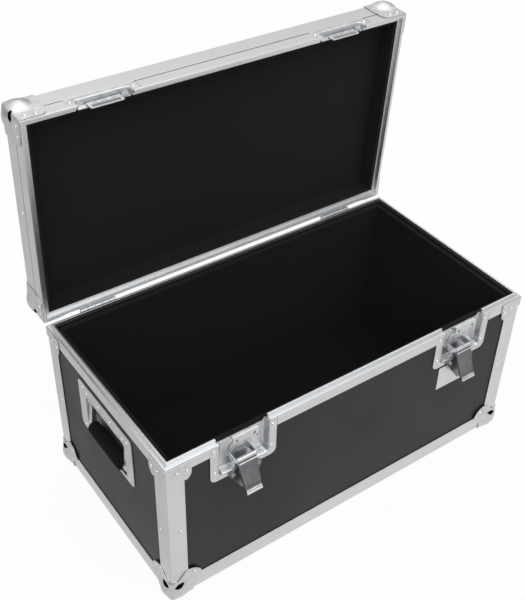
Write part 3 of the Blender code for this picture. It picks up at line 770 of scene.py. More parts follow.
@dataclass(frozen=True)
class LiningFoam:
    """Dense black foam with a flocked face: it gives back hardly any light."""

    name: str = "Black lining foam"
    colour: str = "0a0a0b"
    pile: str = "121213"
    roughness: float = 0.92
    cell: float = 0.8

    def material(self) -> bpy.types.Material:
        """Makes the lining's material.

        Returns:
            The material.
        """
        material, tree, shader = blank(self.name)
        place = add(tree, "ShaderNodeTexCoord").outputs["Object"]
        broad = add(tree, "ShaderNodeTexNoise", None,
                    {"Vector": place, "Scale": 14.0, "Detail": 6.0})
        tone = add(tree, "ShaderNodeMix", {"data_type": "RGBA"},
                   {"Factor": broad.outputs["Fac"], "A": linear(self.colour),
                     "B": linear(self.pile)})
        tree.links.new(tone.outputs["Result"], shader.inputs["Base Color"])
        # Cells of 0.8 mm
        cells = add(tree, "ShaderNodeTexNoise", None,
                    {"Vector": place, "Scale": 1 / (self.cell * MM), "Detail": 2.0})
        bump = add(tree, "ShaderNodeBump", None,
                   {"Height": cells.outputs["Fac"], "Distance": 0.0003, "Strength": 0.7})
        tree.links.new(bump.outputs["Normal"], shader.inputs["Normal"])
        shader.inputs["Roughness"].default_value = self.roughness
        shader.inputs["Specular IOR Level"].default_value = 0.25
        shader.inputs["Sheen Weight"].default_value = 0.08
        shader.inputs["Sheen Roughness"].default_value = 0.5
        return material


@dataclass(frozen=True)
class MouldedRubber:
    """Moulded black rubber, satin from handling, with a fine sandblasted grain."""

    colour: str = "030303"
    dusty: str = "060606"
    roughness: float = 0.78
    grain: float = 0.7

    def material(self) -> bpy.types.Material:
        """Makes the rubber's material.

        Returns:
            The material.
        """
        material, tree, shader = blank("Moulded black rubber")
        place = add(tree, "ShaderNodeTexCoord").outputs["Object"]
        broad = add(tree, "ShaderNodeTexNoise", None,
                    {"Vector": place, "Scale": 60.0, "Detail": 4.0})
        tone = add(tree, "ShaderNodeMix", {"data_type": "RGBA"},
                   {"Factor": broad.outputs["Fac"], "A": linear(self.colour),
                     "B": linear(self.dusty)})
        tree.links.new(tone.outputs["Result"], shader.inputs["Base Color"])
        rough = add(tree, "ShaderNodeMapRange", None,
                    {"Value": broad.outputs["Fac"], "To Min": self.roughness - 0.06,
                     "To Max": self.roughness + 0.08})
        tree.links.new(rough.outputs["Result"], shader.inputs["Roughness"])
        fine = add(tree, "ShaderNodeTexNoise", None,
                   {"Vector": place, "Scale": 1 / (self.grain * MM), "Detail": 2.0})
        bump = add(tree, "ShaderNodeBump", None,
                   {"Height": fine.outputs["Fac"], "Distance": 0.0001, "Strength": 0.5})
        tree.links.new(bump.outputs["Normal"], shader.inputs["Normal"])
        shader.inputs["IOR"].default_value = 1.3
        return material


class Finishes:
    """One of each material, made once and shared by the pieces."""

    def __init__(self) -> None:
        """Makes the materials."""
        self.laminate = Laminate().material()
        self.extrusion = {axis: AnodisedAluminium().material(axis) for axis in Axis}
        self.plated = PlatedSteel().material()
        # Painted shade and reflection: the wings are the same zinc plated steel, given a darker
        # colour for the darker surroundings that their tilted plates mirror
        self.wing = PlatedSteel(name="Dull zinc plated steel of the wings", colour="8e9092",
                                shade="76787b", roughness=0.28).material()
        self.rivet = PlatedSteel(name="Polished rivet steel", colour="f2f2f2", shade="e4e5e6",
                                 roughness=0.16, ripple_m=0.0).material()
        # Painted shade: a darker copy of the plated steel for the ball corners' inner sides, which
        # show through their slots
        self.shadow = PlatedSteel(name="Bare steel inside a corner", colour="3a3a3b",
                                  shade="262627", roughness=0.6).material()
        self.lining = LiningFoam().material()
        # Painted shade: the same foam as the lid's, darker because the inside of the base lies in
        # shade
        self.deep_lining = LiningFoam(name="Black lining foam of the base", colour="030303",
                                      pile="070707").material()
        self.rubber = MouldedRubber().material()


# Repeated parts, laid out by Geometry Nodes


def growing_tree(name: str, sizes: Sequence[str]) -> tuple[bpy.types.NodeTree, bpy.types.Node]:
    """Starts a Geometry Nodes tree with a geometry, some sizes and a material as inputs.

    Args:
        name: The tree's name.
        sizes: Names of its number inputs.

    Returns:
        The tree and its input node.
    """
    tree = bpy.data.node_groups.new(name, "GeometryNodeTree")
    tree.interface.new_socket("Geometry", in_out="INPUT", socket_type="NodeSocketGeometry")
    for size in sizes:
        tree.interface.new_socket(size, in_out="INPUT", socket_type="NodeSocketFloat")
    tree.interface.new_socket("Material", in_out="INPUT", socket_type="NodeSocketMaterial")
    tree.interface.new_socket("Geometry", in_out="OUTPUT", socket_type="NodeSocketGeometry")
    return tree, add(tree, "NodeGroupInput")


def stand_on_points(tree: bpy.types.NodeTree, entry: bpy.types.Node,
                    shape: bpy.types.NodeSocket) -> None:
    """Ends a tree: the shape stands on each point along its "out" vector, as real mesh.

    Args:
        tree: The tree.
        entry: Its input node.
        shape: The shape, which stands up along Z.
    """
    out = add(tree, "GeometryNodeInputNamedAttribute", {"data_type": "FLOAT_VECTOR"},
              {"Name": "out"})
    turn = add(tree, "FunctionNodeAlignRotationToVector", {"axis": "Z"},
               {"Vector": out.outputs["Attribute"]})
    points = add(tree, "GeometryNodeMeshToPoints", None, {"Mesh": entry.outputs["Geometry"]})
    placed = add(tree, "GeometryNodeInstanceOnPoints", None,
                 {"Points": points.outputs["Points"], "Instance": shape,
                  "Rotation": turn.outputs["Rotation"]})
    real = add(tree, "GeometryNodeRealizeInstances", None,
               {"Geometry": placed.outputs["Instances"]})
    done = add(tree, "GeometryNodeSetMaterial", None,
               {"Geometry": real.outputs["Geometry"], "Material": entry.outputs["Material"]})
    add(tree, "NodeGroupOutput", None, {"Geometry": done.outputs["Geometry"]})


# Thickness of a rivet's washer, in metres, and the head's share of the washer's radius
WASHER_T_M = 0.0006
HEAD_SHARE = 0.8


def rivet_tree() -> bpy.types.NodeTree:
    """Makes the tree of the rivets: a flat washer with a domed head on it, at each point.

    Returns:
        The tree, with the washer's radius and the head's height as its sizes.
    """
    tree, entry = growing_tree("Rivet heads", ("Radius", "Height"))
    radius, height = entry.outputs["Radius"], entry.outputs["Height"]
    washer = add(tree, "GeometryNodeMeshCylinder", {"fill_type": "NGON"},
                 {"Vertices": 28, "Radius": radius, "Depth": WASHER_T_M})
    head_r = add(tree, "ShaderNodeMath", {"operation": "MULTIPLY"}, {0: radius, 1: HEAD_SHARE})
    ball = add(tree, "GeometryNodeMeshUVSphere", None,
               {"Segments": 28, "Rings": 14, "Radius": head_r.outputs["Value"]})
    flat = add(tree, "ShaderNodeMath", {"operation": "DIVIDE"},
               {0: height, 1: head_r.outputs["Value"]})
    squash = add(tree, "ShaderNodeCombineXYZ", None,
                 {"X": 1.0, "Y": 1.0, "Z": flat.outputs["Value"]})
    dome = add(tree, "GeometryNodeTransform", None,
               {"Geometry": ball.outputs["Mesh"], "Scale": squash.outputs["Vector"]})
    both = add(tree, "GeometryNodeJoinGeometry")
    tree.links.new(washer.outputs["Mesh"], both.inputs["Geometry"])
    tree.links.new(dome.outputs["Geometry"], both.inputs["Geometry"])
    stand_on_points(tree, entry, both.outputs["Geometry"])
    return tree


def spring_tree() -> bpy.types.NodeTree:
    """Makes the tree of the torsion springs: a wire wound round each point's "out" vector.

    Returns:
        The tree, with the coil's radius, length, turns and wire radius as its sizes.
    """
    tree, entry = growing_tree("Torsion springs", ("Radius", "Length", "Turns", "Wire"))
    radius = entry.outputs["Radius"]
    coil = add(tree, "GeometryNodeCurveSpiral", None,
               {"Resolution": 20, "Rotations": entry.outputs["Turns"], "Start Radius": radius,
                "End Radius": radius, "Height": entry.outputs["Length"]})
    section = add(tree, "GeometryNodeCurvePrimitiveCircle", None,
                  {"Resolution": 10, "Radius": entry.outputs["Wire"]})
    wire = add(tree, "GeometryNodeCurveToMesh", None,
               {"Curve": coil.outputs["Curve"], "Profile Curve": section.outputs["Curve"],
                "Fill Caps": True})
    stand_on_points(tree, entry, wire.outputs["Mesh"])
    return tree


Spot = tuple[Point, Point]


def grown(name: str, tree: bpy.types.NodeTree, spots: Sequence[Spot], sizes: dict[str, float],
          material: bpy.types.Material) -> bpy.types.Object:
    """Lays a repeated part on its spots and keeps the result as plain mesh.

    Args:
        name: The object's name.
        tree: What stands on each spot.
        spots: Pairs of a point and the vector that the part points along.
        sizes: The tree's sizes, in its own units.
        material: The parts' material.

    Returns:
        The finished object.
    """
    mesh = bpy.data.meshes.new(name)
    mesh.from_pydata([in_frame(point) for point, _ in spots], [], [])
    attribute = mesh.attributes.new("out", "FLOAT_VECTOR", "POINT")
    for i, (_, out) in enumerate(spots):
        attribute.data[i].vector = out
    made = stood(name, mesh)
    change = made.modifiers.new("grow", "NODES")
    change.node_group = tree
    values = {**sizes, "Material": material}
    for socket in tree.interface.items_tree:
        if socket.in_out == "INPUT" and socket.name in values:
            change[socket.identifier] = values[socket.name]
    made = applied(made)
    made.data.shade_smooth()
    made.data.set_sharp_from_angle(angle=math.radians(40))
    return made


def turned_open(spots: Sequence[Spot]) -> list[Spot]:
    """Moves spots of the closed lid to the open one.

    Args:
        spots: Spots on the closed lid.

    Returns:
        The same spots where the lid stands open.
    """
    out = []
    for point, way in spots:
        ends = opened(([point, tuple(Vector(point) + Vector(way))], []))[0]
        out.append((ends[0], tuple(Vector(ends[1]) - Vector(ends[0]))))
    return out


# Shapes that several sub-assemblies use


def cut_through(made: bpy.types.Object, *solids: Solid) -> bpy.types.Object:
    """Cuts holes in a finished object.

    Args:
        made: The object.
        solids: What is cut away, in the case's millimetres.

    Returns:
        The same object with its holes.
    """
    for solid in solids:
        tool = piece("tool", solid, [made.data.materials[-1]])
        change = made.modifiers.new("hole", "BOOLEAN")
        change.operation = "DIFFERENCE"
        change.solver = "EXACT"
        change.object = tool
        applied(made)
        dropped(tool)
    return shaded(made, 35)


def pipe(axis: Axis, centre: Flat, radius: float, bore: float, low: float, high: float,
         sides: int = 32) -> Solid:
    """Makes a round bar with a bore, its outer edges rounded off.

    Args:
        axis: The direction that it runs in.
        centre: Its place in the two other axes.
        radius: Its outer radius.
        bore: The bore's radius.
        low: Where it starts.
        high: Where it ends.
        sides: Steps round.

    Returns:
        The closed solid.
    """
    soft = 0.35
    outline = ((low, bore), (low, radius - soft), (low + soft, radius), (high - soft, radius),
               (high, radius - soft), (high, bore), (low, bore))
    return loft(rings(outline, axis, centre, sides))


def smooth_line(points: Sequence[Flat], steps: int) -> list[Flat]:
    """Runs a soft curve through points.

    Args:
        points: The points.
        steps: Pieces between each two of them.

    Returns:
        The curve's points.
    """
    spots = [Vector(p) for p in points]
    spots = [2 * spots[0] - spots[1], *spots, 2 * spots[-1] - spots[-2]]
    out: list[Flat] = []
    for a, b, c, d in zip(spots, spots[1:], spots[2:], spots[3:]):
        for k in range(steps):
            t = k / steps
            out.append(tuple(0.5 * (2 * b + (c - a) * t + (2 * a - 5 * b + 4 * c - d) * t * t
                                    + (3 * b - a - 3 * c + d) * t ** 3)))
    out.append(tuple(spots[-2]))
    return out


def trough(half: float, reach: float, radius: float, lip: float, up: int) -> list[Flat]:
    """An open U: down one side, round the far end and back up the other side.

    Args:
        half: Half its width.
        reach: How far its end lies from the parting plane.
        radius: Radius of its two corners.
        lip: How far its two open ends lie from the parting plane.
        up: 1 where it opens downwards, as in the lid, or -1 where it opens upwards.

    Returns:
        Points as X and height over the parting plane.
    """
    corner = rounded([(-half, lip, 0), (-half, reach, radius), (half, reach, radius),
                      (half, lip, 0)], 8)
    return [(x, up * h) for x, h in corner]


def pressed_dish(x: float, up: int,
                 rows: Sequence[tuple[float, float, float, float, float]]) -> Solid:
    """A dish pressed in one sheet with its flange, open at the parting plane.

    Args:
        x: Its middle.
        up: 1 in the lid or -1 in the base.
        rows: Half width, reach, corner radius, lip and depth behind the front, from the flange's
            edge in to the back.

    Returns:
        The sheet's front surface.
    """
    loops = []
    for half, reach, radius, lip, depth in rows:
        loops.append([(x + a, CASE.front + depth, CASE.parting + h)
                      for a, h in trough(half, reach, radius, lip, up)])
    points, faces = loft(loops, closed=False)
    count = len(loops[0])
    start = len(points) - count
    for k in range(count // 2 - 1):
        faces.append((start + k, start + k + 1, start + count - 2 - k, start + count - 1 - k))
    return points, faces


# Ball corners


@dataclass(frozen=True)
class CornerShape:
    """One kind of ball corner, as its legs' outlines from the case's corner."""

    upright: tuple[Flat, ...]
    level: tuple[Flat, ...]
    rivets_upright: tuple[Flat, ...]
    rivets_level: tuple[Flat, ...]
    slots: tuple[tuple[Axis, float, float], ...]
    flat_foot: bool


PETAL = ((36.3, -1.8), (34.3, 9.4), (45.8, 21.7), (50.4, 29.3), (50.0, 35.0), (46.6, 41.2))
FOOT_SHAPE = CornerShape(
    upright=PETAL + tuple((b, a) for a, b in reversed(PETAL)),
    level=PETAL + tuple((b, a) for a, b in reversed(PETAL)),
    rivets_upright=((38.5, 40.0),), rivets_level=((38.5, 40.0),),
    slots=((Axis.Y, 12.0, 27.2), (Axis.X, 11.0, 28.2)), flat_foot=True)
LID_LEVEL = ((43.0, -1.8), (41.5, 6.0), (38.5, 12.0), (45.8, 21.7), (50.4, 29.3), (50.0, 35.0),
             (46.6, 41.2))
LID_SHAPE = CornerShape(
    upright=((43.0, -1.8), (42.8, 12.0), (42.5, 24.0), (42.0, 36.0), (40.5, 43.0), (37.0, 48.0),
             (32.0, 50.3), (24.0, 50.9), (12.0, 51.0), (-1.8, 51.0)),
    level=LID_LEVEL + tuple((b, a) for a, b in reversed(LID_LEVEL)),
    rivets_upright=((11.2, 42.6), (26.0, 43.6)), rivets_level=((38.5, 40.0),),
    slots=((Axis.X, 3.5, 27.0),), flat_foot=False)


@dataclass
class BallCorner:
    """A corner pressed in steel: three legs on the edges and a ball that stands proud of them."""

    shape: CornerShape
    steel: bpy.types.Material
    dark: bpy.types.Material
    face: float = -1.8
    thickness: float = 1.4
    edge: float = 3.2
    blend: float = 4.5
    rays: int = 34
    slot_tilt: float = 13.0
    slot_depth: float = 20.0
    # A place this far in on each axis lies in the case, which tells the sheet's two sides apart
    inside: float = 60.0

    def over(self, spot: Vector) -> float:
        """Measures how far a point lies over the pressed surface.

        Args:
            spot: The point, from the case's corner.

        Returns:
            The distance, less than zero inside.
        """
        reach = Vector([self.face + self.edge - v for v in spot])
        outside = Vector([max(v, 0.0) for v in reach]).length
        block = outside + min(max(reach), 0.0) - self.edge
        ball = (spot - Vector((CASE.ball_inset,) * 3)).length - CASE.ball_radius
        share = max(self.blend - abs(block - ball), 0.0) / self.blend
        return min(block, ball) - share * share * self.blend / 4

    def pressed(self, spot: Vector) -> Point:
        """Moves a point of the plain legs out along its ray until it lies on the surface.

        Args:
            spot: The point on a leg.

        Returns:
            The point on the pressed surface.
        """
        middle = Vector((self.inside,) * 3)
        way = (spot - middle).normalized()
        near, far = 0.0, (spot - middle).length + 30.0
        for _ in range(40):
            at = (near + far) / 2
            if self.over(middle + way * at) < 0:
                near = at
            else:
                far = at
        out = middle + way * near
        if self.shape.flat_foot:
            out.z = max(out.z, -CASE.bottom)
        return tuple(out)

    def surface(self) -> Solid:
        """Makes the sheet's outer surface, for the corner at zero with the case ahead.

        Returns:
            The surface.
        """
        faces = ((self.shape.upright, lambda a, b: (a, self.face, b)),
                 (self.shape.upright, lambda a, b: (self.face, a, b)),
                 (self.shape.level, lambda a, b: (a, b, self.face)))
        sides = []
        for outline, place in faces:
            rim = smooth_line(outline, 4)
            loops = []
            for k in range(self.rays + 1):
                t = k / self.rays
                loops.append([
                    self.pressed(Vector(place(self.face + (a - self.face) * t,
                                              self.face + (b - self.face) * t)))
                    for a, b in rim])
            sides.append(loft(loops, closed=False))
        return joined(*sides)

    def slots(self) -> list[Solid]:
        """Makes what the almond slots beside the upright edge take out of the ball.

        Returns:
            One solid for each slot.
        """
        almond = rounded([(-9.5, 0, 1.2), (-3, -3.4, 9), (3, -3.4, 9), (9.5, 0, 1.2), (3, 3.4, 9),
                          (-3, 3.4, 9)], 5)
        lean = Matrix.Rotation(math.radians(self.slot_tilt), 2)
        out = []
        for axis, along, up in self.shape.slots:
            outline = [tuple(lean @ Vector(p) + Vector((along, up))) for p in almond]
            out.append(prism(outline, axis, -self.slot_depth, 1.6))
        return out

    def build(self, name: str, side_x: int, side_y: int, body: str, node: str) -> list[Spot]:
        """Makes the corner in its place and gives the spots of its rivets.

        Args:
            name: The object's name.
            side_x: 1 at the right or -1 at the left.
            side_y: 1 at the back or -1 at the front.
            body: The CAD body that it moves with.
            node: The CAD node that it replaces.

        Returns:
            The rivets' spots, for the closed case.
        """
        top = not self.shape.flat_foot

        def place(p: Sequence[float]) -> Point:
            """Takes a point of the zero corner to the case's corner."""
            z = CASE.top - p[2] if top else CASE.bottom + p[2]
            return side_x * (CASE.right - p[0]), side_y * (CASE.back - p[1]), z

        shape = moved(self.surface(), place)
        away = place((self.inside,) * 3)
        slots = [moved(slot, place) for slot in self.slots()]
        if top:
            shape, away = opened(shape), opened(([away], []))[0][0]
            slots = [opened(slot) for slot in slots]
        # The wall's inner side takes the dark steel, which is painted shade seen through the slots
        made = piece(name, shape, [self.steel, self.dark], wall=self.thickness, smooth=50,
                     away=away)
        cut_through(made, *slots)
        settle(made, body, "zinc_plated_steel", node)
        spots: list[Spot] = []
        up = 1 if top else -1
        for a, b in self.shape.rivets_upright:
            spots.append((place((a, self.face, b)), (0, side_y, 0)))
            spots.append((place((self.face, a, b)), (side_x, 0, 0)))
        for a, b in self.shape.rivets_level:
            spots.append((place((a, b, self.face)), (0, 0, up)))
        return spots


@dataclass
class Brace:
    """A folded plate over a corner post, just under the parting plane."""

    steel: bpy.types.Material
    face: float = -1.5
    fold: float = 2.5
    lobe: tuple[Flat, ...] = ((10.0, -16.5), (17.7, -24.5), (29.6, -32.5), (35.0, -33.4),
                              (39.2, -29.0), (41.0, -24.0), (41.5, -20.5))
    rivets: tuple[Flat, ...] = ((32.8, -18.4), (18.1, -15.9))
    low_edge: float = -16.5
    high_edge: float = -1.0
    sheet: float = 1.1
    # A place this far in on each axis lies in the case, which tells the sheet's two sides apart
    inside: float = 60.0

    def around(self, along: float) -> Flat:
        """Bends the flat plate round the post's edge.

        Args:
            along: Distance from the middle of the fold, more than zero on the side that runs in X.

        Returns:
            How far the place lies in from the corner in X and in Y.
        """
        centre = self.face + self.fold
        quarter = self.fold * math.pi / 4
        if abs(along) > quarter:
            far = centre + abs(along) - quarter
            return (far, self.face) if along > 0 else (self.face, far)
        turn = math.radians(45) - along / self.fold
        return centre - self.fold * math.sin(turn), centre - self.fold * math.cos(turn)

    def build(self, name: str, side_x: int, side_y: int) -> list[Spot]:
        """Makes the brace of one post.

        Args:
            name: The corner's name.
            side_x: 1 at the right or -1 at the left.
            side_y: 1 at the back or -1 at the front.

        Returns:
            The rivets' spots.
        """
        lower = [(0.0, self.low_edge), (5.0, self.low_edge)] + smooth_line(self.lobe, 4)
        columns = [(-a, h) for a, h in reversed(lower[1:])] + lower
        # Close steps round the fold, where the plate bends
        bends = [-2.0, -1.5, -1.0, -0.5, 0.5, 1.0, 1.5, 2.0]
        columns = sorted(columns + [(a, self.low_edge) for a in bends])
        loops = []
        for along, low in columns:
            spread = along
            if abs(along) > bends[-1] + 0.1:
                spread -= math.copysign(self.face + self.fold - self.fold * math.pi / 4, along)
            x, y = self.around(spread)
            loops.append([(side_x * (CASE.right - x), side_y * (CASE.back - y),
                           CASE.parting + low + (self.high_edge - low) * t)
                          for t in (0, 0.33, 0.67, 1)])
        away = (side_x * (CASE.right - self.inside), side_y * (CASE.back - self.inside),
                CASE.parting - 15)
        made = piece(f"{name}_brace_plate", loft(loops, closed=False), [self.steel], bevel=0.3,
                     wall=self.sheet, away=away)
        settle(made, "case", "zinc_plated_steel", f"{name}_brace")
        spots: list[Spot] = []
        for a, h in self.rivets:
            spots.append(((side_x * (CASE.right - a), side_y * (CASE.back - self.face),
                           CASE.parting + h), (0, side_y, 0)))
            spots.append(((side_x * (CASE.right - self.face), side_y * (CASE.back - a),
                           CASE.parting + h), (side_x, 0, 0)))
        return spots


CORNERS = {"front_left": (-1, -1), "front_right": (1, -1),
           "back_left": (-1, 1), "back_right": (1, 1)}


# Extrusions


@dataclass
class Extrusions:
    """The aluminium lengths: two edge frames, four posts and the two closing rims."""

    metal: dict[Axis, bpy.types.Material]
    leg: float = 29.0
    short: float = 14.0
    outer_round: float = 2.2
    latch_x: float = LATCH_X
    mouth: float = 42.0
    flange: float = 54.3
    skirt: float = 17.5
    # A post's rivet: inset and height; the lid's end rivet: Y and distance under the top
    post_rivet: Flat = (20.7, 139.4)
    lid_rivet: Flat = (-9.3, 20.6)

    def angle(self, grow: int) -> list[Flat]:
        """Draws an angle's section, with its outer edge rounded off.

        Args:
            grow: 1 where its upright leg stands up or -1 where it hangs down.

        Returns:
            The section as inset and height.
        """
        thick = PROFILE_T
        shape = rounded([(0, 0, self.outer_round), (self.leg, 0, 0.5), (self.leg, thick, 0.5),
                         (thick, thick, 0.6), (thick, self.leg, 0.5), (0, self.leg, 0.5)], 4)
        return [(a, grow * b) for a, b in shape]

    def length(self, face: Face, section: Sequence[Flat], level: float, start: float | None = None,
               end: float | None = None) -> Solid:
        """One length on a face, from its left end to its right one as X or Y grows.

        Args:
            face: The upright face that it lies on.
            section: Inset behind the face and height over the level.
            level: The height that the section is measured from.
            start: Where it is cut square, or None for a mitre at the case's corner.
            end: Where it is cut square, or None for a mitre.

        Returns:
            The closed solid.
        """
        side_x, side_y = face.value
        half = CASE.right if face.runs is Axis.X else CASE.back
        loops = []
        for cut, sign in ((start, -1), (end, 1)):
            loop = []
            for inset, height in section:
                along = sign * (half - inset) if cut is None else cut
                if face.runs is Axis.X:
                    loop.append((along, side_y * (CASE.back - inset), level + height))
                else:
                    loop.append((side_x * (CASE.right - inset), along, level + height))
            loops.append(loop)
        return loft(loops, True, True, True)

    def build(self) -> None:
        """Makes every length, one object for each way that they run."""
        for axis in (Axis.X, Axis.Y):
            faces = [face for face in Face if face.runs is axis]
            half = (CASE.right if axis is Axis.X else CASE.back) - self.short
            low = [self.length(face, self.angle(1), CASE.bottom, -half, half) for face in faces]
            made = piece(f"bottom_edge_lengths_{axis.name.lower()}", joined(*low),
                         [self.metal[axis]])
            settle(made, "case", "aluminium_extrusion", "bottom_edge_frame")
            high = [self.length(face, self.angle(-1), CASE.top, -half, half) for face in faces]
            made = piece(f"lid_edge_lengths_{axis.name.lower()}", opened(joined(*high)),
                         [self.metal[axis]])
            settle(made, "lid", "aluminium_extrusion", "lid_edge_frame")
            self.rims(axis, faces)
        self.posts()

    def rims(self, axis: Axis, faces: Sequence[Face]) -> None:
        """Makes the tongue rim of the base and the grooved rim of the lid.

        Args:
            axis: The direction that the lengths run in.
            faces: The faces with such lengths.
        """
        tongue = rounded([(0, -self.skirt, 0.3), (0, 0, 1.0), (5.4, 0, 0.3), (5.4, 5.2, 0.7),
                          (8.8, 5.2, 0.7), (8.8, -1.5, 0), (1.5, -1.5, 0),
                          (1.5, -self.skirt, 0.3)], 3)
        tongue_short = rounded([(0, -1.5, 0), (0, 0, 1.0), (5.4, 0, 0.3), (5.4, 5.2, 0.7),
                                (8.8, 5.2, 0.7), (8.8, -1.5, 0)], 3)
        groove = rounded([(0, 21, 0.3), (0, 0.3, 1.0), (5.1, 0.3, 0.4), (5.1, 5.5, 0.4),
                          (10.8, 5.5, 0.5), (10.8, 7, 0.5), (3.6, 7, 0), (3.6, 1.8, 0),
                          (1.5, 1.8, 0), (1.5, 21, 0.3)], 3)
        groove_short = rounded([(0, 1.8, 0), (0, 0.3, 1.0), (5.1, 0.3, 0.4), (5.1, 5.5, 0.4),
                                (10.8, 5.5, 0.5), (10.8, 7, 0.5), (3.6, 7, 0), (3.6, 1.8, 0)], 3)
        for word, body, full, cut in (("base", "case", tongue, tongue_short),
                                      ("lid", "lid", groove, groove_short)):
            parts = []
            nodes = [f"{word}_rim_sides_and_back"]
            for face in faces:
                if face is not Face.FRONT:
                    parts.append(self.length(face, full, CASE.parting))
                    continue
                nodes += [f"{word}_rim_front_{place}" for place in ("left", "middle", "right")]
                x, far, near = self.latch_x, self.flange, self.mouth
                runs = ((None, -x - far, full), (-x - far, -x - near, cut),
                        (-x + near, -x + far, cut), (-x + far, x - far, full),
                        (x - far, x - near, cut), (x + near, x + far, cut), (x + far, None, full))
                parts += [self.length(face, section, CASE.parting, start, end)
                          for start, end, section in runs]
            solid = joined(*parts)
            made = piece(f"{word}_closing_rim_{axis.name.lower()}",
                         opened(solid) if body == "lid" else solid, [self.metal[axis]])
            settle(made, body, "aluminium_extrusion", *nodes)

    def posts(self) -> None:
        """Makes the four corner posts."""
        low, high = CASE.bottom + self.leg + GAP, CASE.parting - self.skirt - GAP
        for name, (side_x, side_y) in CORNERS.items():
            solid = prism([(side_x * (CASE.right - a), side_y * (CASE.back - b))
                           for a, b in self.angle(1)], Axis.Z, low, high)
            made = piece(f"{name}_post_length", solid, [self.metal[Axis.Z]])
            settle(made, "case", "aluminium_extrusion", f"{name}_corner_post")

    def rivets(self) -> tuple[list[Spot], list[Spot]]:
        """Finds the places of the rivets.

        Returns:
            The spots in the posts, and those in the lid's edge frame.
        """
        base: list[Spot] = []
        inset, up = self.post_rivet
        for side_x, side_y in CORNERS.values():
            z = CASE.bottom + up
            base.append(((side_x * (CASE.right - inset), side_y * CASE.back, z), (0, side_y, 0)))
            base.append(((side_x * CASE.right, side_y * (CASE.back - inset), z), (side_x, 0, 0)))
        y, drop = self.lid_rivet
        lid: list[Spot] = [((side * CASE.right, y, CASE.top - drop), (side, 0, 0))
                           for side in (-1, 1)]
        return base, lid


# Latches


